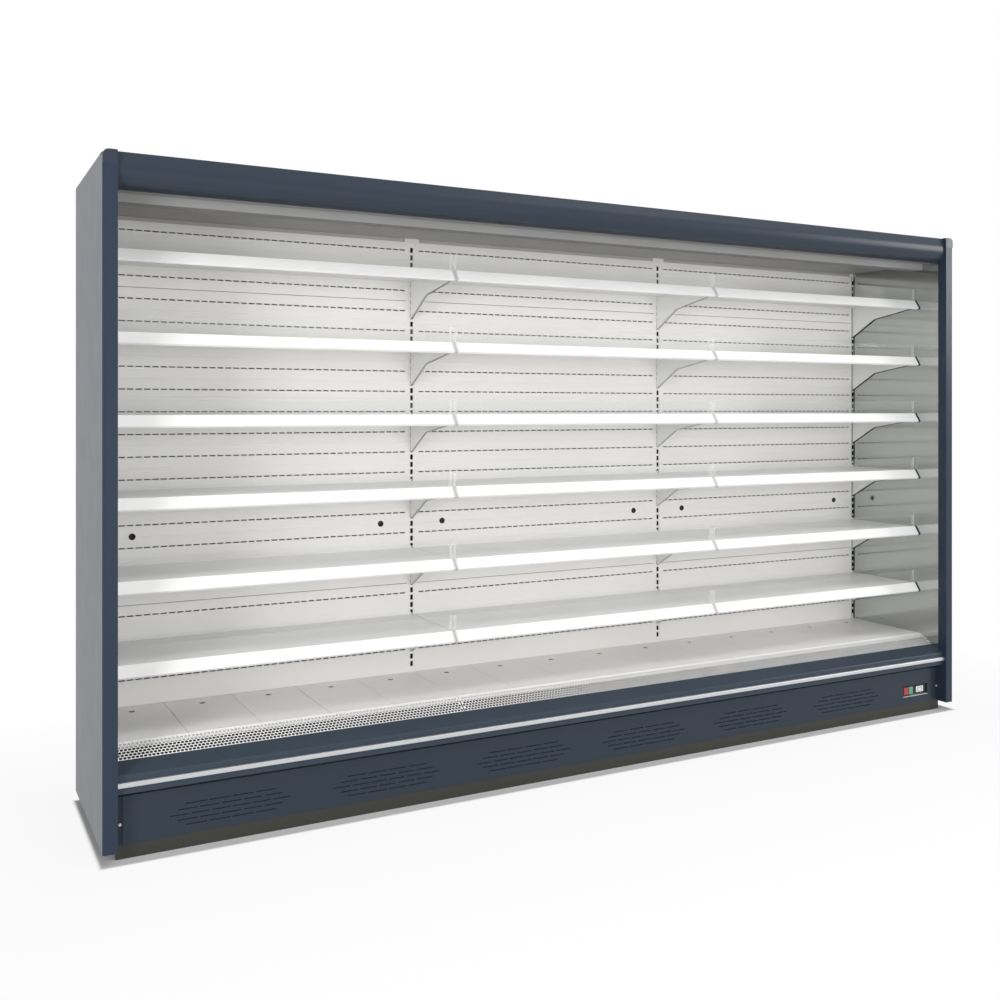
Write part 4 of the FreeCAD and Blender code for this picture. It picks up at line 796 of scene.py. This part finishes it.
def bracket_path():
    """Lower outline of a bracket, from heel to front, as (y, drop below the shelf top)."""
    heel = Vector((UPRIGHT_FACE - BRACKET_HEEL_GAP, BRACKET_HEEL_DROP))
    knee = Vector((UPRIGHT_FACE - BRACKET_KNEE[0], BRACKET_KNEE[1]))
    toe = Vector((SHELF_FRONT + BRACKET_FRONT_GAP, BRACKET_FRONT_DROP))
    to_heel, to_toe = (heel - knee).normalized(), (toe - knee).normalized()
    half_angle = to_heel.angle(to_toe) / 2
    tangent = BRACKET_KNEE_RADIUS / math.tan(half_angle)
    centre = knee + (to_heel + to_toe).normalized() * BRACKET_KNEE_RADIUS / math.sin(half_angle)
    start, end = knee + to_heel * tangent - centre, knee + to_toe * tangent - centre
    shares = [i / BRACKET_KNEE_STEPS for i in range(BRACKET_KNEE_STEPS + 1)]
    arc = [centre + start.lerp(end, share).normalized() * BRACKET_KNEE_RADIUS for share in shares]
    return [heel, *arc, toe]


def bracket_edges():
    """Flange folded along the lower edge of every bracket, towards the middle of its bay, a
    little darker than the shelf paint as painted shade on the edge; at the right wall near black,
    painted shade of the gap at the mirror lining.
    """
    path = bracket_path()
    pale, dark = bmesh.new(), bmesh.new()
    for low, high in bay_ends():
        first, last = low + SHELF_END_GAP, high - SHELF_END_GAP
        at_wall = high > RIGHT - BAY / 2
        for level in shelf_levels():
            outline = [(y, level - drop) for y, drop in path]
            outline += [(y, level - drop + BRACKET_EDGE_THICKNESS) for y, drop in reversed(path)]
            prism(pale, outline, first, first + BRACKET_EDGE_WIDTH)
            # flanges at the right wall go into the near-black painted shade
            prism(dark if at_wall else pale, outline, last - BRACKET_EDGE_WIDTH, last)
    finish_solids("bracket_edges", pale, "shelf_paint", "bracket_edge")
    finish_solids("bracket_edges_right_wall_painted_shade", dark, "shelf_paint", "bracket_edge_deep_painted_shade")


# ---------------------------------------------------------------- air paths at deck and canopy


def return_grilles():
    """Sloping perforated sheets with a flat top edge that is folded down."""
    low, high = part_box("return_grilles")
    near, far = low.y, high.y
    crest = high.z
    lip_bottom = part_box("deck_tray_01")[0].z
    at, lengths = fold([
        (near, GRILLE_FRONT_LEVEL), (far - GRILLE_FLAT, crest), (far, crest), (far, lip_bottom),
    ])
    slope = lengths[1]
    pitch = (BAY - 2 * (low.x - LEFT)) / GRILLE_HOLES_PER_BAY
    row_pitch = pitch * math.sqrt(3) / 2
    margin = (slope - GRILLE_ROWS * row_pitch) / 2
    strips = [(0.0, margin), (slope - margin, slope)]
    strips += [(lengths[1], lengths[2]), (lengths[2], lengths[3])]

    def place(x, s):
        return (x, *at(s))

    for bay in range(BAYS):
        start = low.x + bay * BAY
        mesh = bmesh.new()
        hole_cells(mesh, GRILLE_HOLES_PER_BAY, GRILLE_ROWS, pitch, row_pitch, (start, margin),
                   GRILLE_HOLE, place)
        for bottom, top in strips:
            for half in range(2 * GRILLE_HOLES_PER_BAY):
                a, b = start + half * pitch / 2, start + (half + 1) * pitch / 2
                corners = ((a, bottom), (b, bottom), (b, top), (a, top))
                mesh.faces.new([mesh.verts.new(place(x, s)) for x, s in corners])
        bmesh.ops.remove_doubles(mesh, verts=mesh.verts, dist=SAME_POINT)
        piece = finish_piece(f"return_grille_{bay + 1}", mesh, "deck_paint",
                             replaced=["return_grilles"])
        thicken(piece, GRILLE_SHEET)


def air_outlet():
    """Honeycomb block of open cells."""
    low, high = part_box("air_honeycomb")
    pitch = (RIGHT - LEFT) / OUTLET_CELLS
    row_pitch = (high.y - low.y) / OUTLET_ROWS
    mesh = bmesh.new()
    hole_cells(mesh, OUTLET_CELLS, OUTLET_ROWS, pitch, row_pitch, (LEFT, -high.y), OUTLET_CELL,
               lambda x, s: (x, -s, low.z))
    bmesh.ops.remove_doubles(mesh, verts=mesh.verts, dist=SAME_POINT)
    bmesh.ops.reverse_faces(mesh, faces=mesh.faces)
    piece = finish_piece("air_outlet", mesh, "honeycomb_plastic", replaced=["air_honeycomb"])
    thicken(piece, high.z - low.z)


# ---------------------------------------------------------------- kick panel and controls


def louvre_rows():
    """Middle, level, length and number of slots of every row of louvres."""
    middle_row = (len(LOUVRE_ROWS) - 1) / 2
    for group in range(LOUVRE_GROUPS):
        centre = LEFT + LOUVRE_FIRST + group * LOUVRE_PITCH
        for row, (length, count) in enumerate(LOUVRE_ROWS):
            yield centre, LOUVRE_LEVEL + (row - middle_row) * LOUVRE_ROW_PITCH, length, count


def louvre_holes():
    """Left, right, bottom and top of every louvre slot."""
    holes = []
    for centre, level, length, count in louvre_rows():
        step = (length + LOUVRE_RIB) / count
        bottom, top = level - LOUVRE_HEIGHT / 2, level + LOUVRE_HEIGHT / 2
        for i in range(count):
            low = centre - length / 2 + i * step
            holes.append((low, low + step - LOUVRE_RIB, bottom, top))
    return holes


def kick_panel():
    """Folded lower front with rows of louvre slots and the window for the controls."""
    low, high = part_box("kick_panel")
    housing_low, housing_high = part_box("control_housing")
    window = (housing_low.x + WINDOW_RIM, housing_high.x - WINDOW_RIM,
              housing_low.z + WINDOW_RIM, housing_high.z - WINDOW_RIM)
    holes = louvre_holes() + [window]
    path = [(high.y, low.z), (low.y, low.z), (low.y, high.z), (high.y, high.z)]
    at, lengths = fold(path)
    base = lengths[1] - low.z
    across = lines_of(low.x, high.x, [(a, b) for a, b, _, _ in holes])
    bands = [(base + c, base + d) for _, _, c, d in holes]
    up = lines_of(0.0, lengths[-1], bands + list(zip(lengths, lengths[1:])))
    mesh = grid_sheet(
        across,
        up,
        lambda x, s: any(a < x < b and c < s - base < d for a, b, c, d in holes),
        lambda x, s: (x, *at(s)),
    )
    thicken(finish_piece("kick_panel_sheet", mesh, "front_paint", replaced=["kick_panel"]), SHEET)


def louvre_blades():
    """Blades behind the louvre slots, rising to the back, that keep the base out of sight."""
    sheet_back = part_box("kick_panel")[0].y + SHEET
    mesh = bmesh.new()
    for centre, level, length, _ in louvre_rows():
        slot_bottom = level - LOUVRE_HEIGHT / 2
        outline = [(sheet_back, slot_bottom - below) for below in BLADE_BELOW_SLOT]
        outline += [(sheet_back + y, level + z) for y, z in BLADE_CREST]
        prism(mesh, outline, centre - length / 2 - BLADE_LAP, centre + length / 2 + BLADE_LAP)
    finish_solids("louvre_blades", mesh, "front_paint")


def filler_screws():
    """Pan heads with a dimple, which hold the fillers beside the kick panel."""
    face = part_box("kick_fillers")[0].y
    for side, x in (("left", LEFT + SCREW_FROM_WALL), ("right", RIGHT - SCREW_FROM_WALL)):
        mesh = bmesh.new()
        lathe(mesh, SCREW_OUTLINE, lambda a, b, h: (x + a, face - h, SCREW_LEVEL + b))
        finish_piece(f"filler_screw_{side}", mesh, "galvanised_steel", smooth=True,
                     material=finishes["screw_zinc"])


def control_sill():
    """Bare metal sill with a rolled front edge under the window for the controls."""
    panel_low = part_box("kick_panel")[0]
    housing_low, housing_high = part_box("control_housing")
    face, floor = panel_low.y, housing_low.z + WINDOW_RIM
    outline = [(face + y, floor + z) for y, z in SILL_OUTLINE]
    mesh = bmesh.new()
    prism(mesh, outline, housing_low.x + WINDOW_RIM, housing_high.x - WINDOW_RIM)
    finish_solids("control_sill", mesh, "galvanised_steel", "screw_zinc")


def rounded_outline(middle_x, middle_z, half_width, half_height):
    """Points round an upright rectangle with rounded corners, as (x, z)."""
    outline = []
    for sign_x, sign_z, turn in ((1, 1, 0), (-1, 1, 1), (-1, -1, 2), (1, -1, 3)):
        corner_x = middle_x + sign_x * (half_width - DISPLAY_CORNER)
        corner_z = middle_z + sign_z * (half_height - DISPLAY_CORNER)
        for step in range(DISPLAY_CORNER_STEPS + 1):
            angle = math.pi / 2 * (turn + step / DISPLAY_CORNER_STEPS)
            outline.append((corner_x + DISPLAY_CORNER * math.cos(angle),
                            corner_z + DISPLAY_CORNER * math.sin(angle)))
    return outline


def controller_display():
    """Blank pale display with a raised ring, set in the controller's recess."""
    low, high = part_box("temperature_controller")
    middle_x, middle_z = (low.x + high.x) / 2, (low.z + high.z) / 2
    for name, half_width, half_height, proud, finish in DISPLAY_PLATES:
        outline = rounded_outline(middle_x, middle_z, half_width, half_height)
        face = low.y - proud
        mesh = bmesh.new()
        front = [mesh.verts.new((x, face, z)) for x, z in outline]
        back = [mesh.verts.new((x, low.y + DISPLAY_SEAT, z)) for x, z in outline]
        band(mesh, front, back)
        if name == "display":
            mesh.faces.new(front)
        else:
            inner = [mesh.verts.new((middle_x + (x - middle_x) * RING_OPENING[0], face,
                                     middle_z + (z - middle_z) * RING_OPENING[1]))
                     for x, z in outline]
            band(mesh, front, inner)
        finish_solids(name, mesh, "controller_plastic", finish)


def main():
    back_panels()
    uprights()
    upright_slot_painted_shade()
    end_strip_painted_shade()
    head_strips()
    probe_grommets()
    rail_caps()
    riser_edges()
    bracket_edges()
    return_grilles()
    air_outlet()
    kick_panel()
    louvre_blades()
    filler_screws()
    control_sill()
    controller_display()


main()


# ---------------------------------------------------------------- stage, light and camera

AMBIENT = 0.24
FLOOR_HALF_SIZE = 30.0
FLOOR_WHITE_NEAR = 0.90
FLOOR_SHADE_REACH = 1.2


def floor_material():
    """Pale floor: plain white far out, some shadow near the cabinet, full shadow under it."""
    material = bpy.data.materials.new("floor")
    material.use_nodes = True
    tree = material.node_tree
    lit = tree.nodes["Principled BSDF"]
    lit.inputs["Base Color"].default_value = colour(214, 214, 214)
    lit.inputs["Roughness"].default_value = 0.9
    plain = tree.nodes.new("ShaderNodeEmission")
    plain.inputs["Strength"].default_value = 1.0
    whiteness = tree.nodes.new("ShaderNodeValToRGB")
    ramp = whiteness.color_ramp
    ramp.elements[0].position = 0.0
    ramp.elements[0].color = (0.0, 0.0, 0.0, 1.0)
    ramp.elements[1].position = 1.0
    ramp.elements[1].color = (1.0, 1.0, 1.0, 1.0)
    ramp.elements.new(0.01).color = (FLOOR_WHITE_NEAR,) * 3 + (1.0,)
    tree.links.new(distance_outside_footprint(tree), whiteness.inputs["Fac"])
    share = tree.nodes.new("ShaderNodeMath")
    share.operation = "MULTIPLY"
    tree.links.new(seen_directly(tree), share.inputs[0])
    tree.links.new(whiteness.outputs["Color"], share.inputs[1])
    mix = tree.nodes.new("ShaderNodeMixShader")
    tree.links.new(share.outputs["Value"], mix.inputs["Fac"])
    tree.links.new(lit.outputs["BSDF"], mix.inputs[1])
    tree.links.new(plain.outputs["Emission"], mix.inputs[2])
    out = tree.nodes["Material Output"]
    tree.links.new(mix.outputs["Shader"], out.inputs["Surface"])
    return material


def distance_outside_footprint(tree):
    """0 under the cabinet, rising to 1 at FLOOR_SHADE_REACH from its outline."""
    place = tree.nodes.new("ShaderNodeTexCoord").outputs["Object"]
    parts = tree.nodes.new("ShaderNodeSeparateXYZ")
    tree.links.new(place, parts.inputs["Vector"])
    beyond = []
    for axis, half in (("X", cad_high[0]), ("Y", cad_high[1])):
        size = tree.nodes.new("ShaderNodeMath")
        size.operation = "ABSOLUTE"
        tree.links.new(parts.outputs[axis], size.inputs[0])
        past = tree.nodes.new("ShaderNodeMath")
        past.operation = "SUBTRACT"
        past.inputs[1].default_value = half
        tree.links.new(size.outputs["Value"], past.inputs[0])
        beyond.append(past.outputs["Value"])
    furthest = tree.nodes.new("ShaderNodeMath")
    furthest.operation = "MAXIMUM"
    tree.links.new(beyond[0], furthest.inputs[0])
    tree.links.new(beyond[1], furthest.inputs[1])
    scaled = tree.nodes.new("ShaderNodeMath")
    scaled.operation = "DIVIDE"
    scaled.use_clamp = True
    scaled.inputs[1].default_value = FLOOR_SHADE_REACH
    tree.links.new(furthest.outputs["Value"], scaled.inputs[0])
    return scaled.outputs["Value"]


def seen_directly(tree):
    """1 for rays from the camera, from gloss and through glass, 0 for the light they bounce."""
    rays = tree.nodes.new("ShaderNodeLightPath")
    total = rays.outputs["Is Camera Ray"]
    for name in ("Is Glossy Ray", "Is Transmission Ray"):
        either = tree.nodes.new("ShaderNodeMath")
        either.operation = "MAXIMUM"
        tree.links.new(total, either.inputs[0])
        tree.links.new(rays.outputs[name], either.inputs[1])
        total = either.outputs["Value"]
    return total


def stage():
    mesh = bmesh.new()
    bmesh.ops.create_grid(mesh, x_segments=1, y_segments=1, size=FLOOR_HALF_SIZE)
    data = bpy.data.meshes.new("floor")
    mesh.to_mesh(data)
    mesh.free()
    floor = bpy.data.objects.new("floor", data)
    bpy.context.scene.collection.objects.link(floor)
    data.materials.append(floor_material())


def world():
    scene = bpy.context.scene
    scene.world = bpy.data.worlds.new("studio")
    scene.world.use_nodes = True
    tree = scene.world.node_tree
    tree.nodes.clear()
    plain = tree.nodes.new("ShaderNodeBackground")
    plain.inputs["Color"].default_value = (1.0, 1.0, 1.0, 1.0)
    plain.inputs["Strength"].default_value = AMBIENT
    white = tree.nodes.new("ShaderNodeBackground")
    white.inputs["Color"].default_value = (1.0, 1.0, 1.0, 1.0)
    white.inputs["Strength"].default_value = 1.0
    mix = tree.nodes.new("ShaderNodeMixShader")
    tree.links.new(seen_directly(tree), mix.inputs["Fac"])
    tree.links.new(plain.outputs["Background"], mix.inputs[1])
    tree.links.new(white.outputs["Background"], mix.inputs[2])
    out = tree.nodes.new("ShaderNodeOutputWorld")
    tree.links.new(mix.outputs["Shader"], out.inputs["Surface"])


def area_light(name, place, target, size, size_y, power, in_gloss=False):
    """Softbox; in_gloss says whether glossy paint shows it as a highlight."""
    data = bpy.data.lights.new(name, "AREA")
    data.shape = "RECTANGLE"
    data.size = size
    data.size_y = size_y
    data.energy = power
    lamp = bpy.data.objects.new(name, data)
    lamp.location = place
    lamp.rotation_euler = (Vector(target) - Vector(place)).to_track_quat("-Z", "Y").to_euler()
    lamp.visible_glossy = in_gloss
    bpy.context.scene.collection.objects.link(lamp)


def lights():
    area_light("front_softbox", (0.3, -5.2, 1.3), (0.0, 0.0, 1.1), 6.0, 2.0, 120.0)
    area_light("high_softbox", (0.3, -2.0, 5.0), (0.0, -0.15, 0.8), 6.0, 1.6, 70.0)
    area_light("left_softbox", (-5.2, -3.2, 1.9), (0.5, 0.0, 1.2), 1.6, 2.4, 125.0)
    area_light("header_strip", (3.6, -3.0, 5.4), (1.5, -0.3, 2.1), 5.0, 0.5, 26.0, in_gloss=True)
    area_light("right_strip", (5.7, -3.45, 2.9), (1.9, -0.3, 1.9), 1.0, 1.8, 70.0, in_gloss=True)


def camera():
    data = bpy.data.cameras.new("camera")
    data.lens = 39.21
    data.sensor_width = 36.0
    data.shift_y = -0.0904
    data.clip_end = 100.0
    view = bpy.data.objects.new("camera", data)
    view.location = (-2.4171, -3.9035, 1.4281)
    view.rotation_euler = (math.radians(90), 0.0, math.radians(-27.96))
    bpy.context.scene.collection.objects.link(view)
    bpy.context.scene.camera = view


stage()
world()
lights()
camera()
bpy.context.scene.view_settings.view_transform = "Standard"
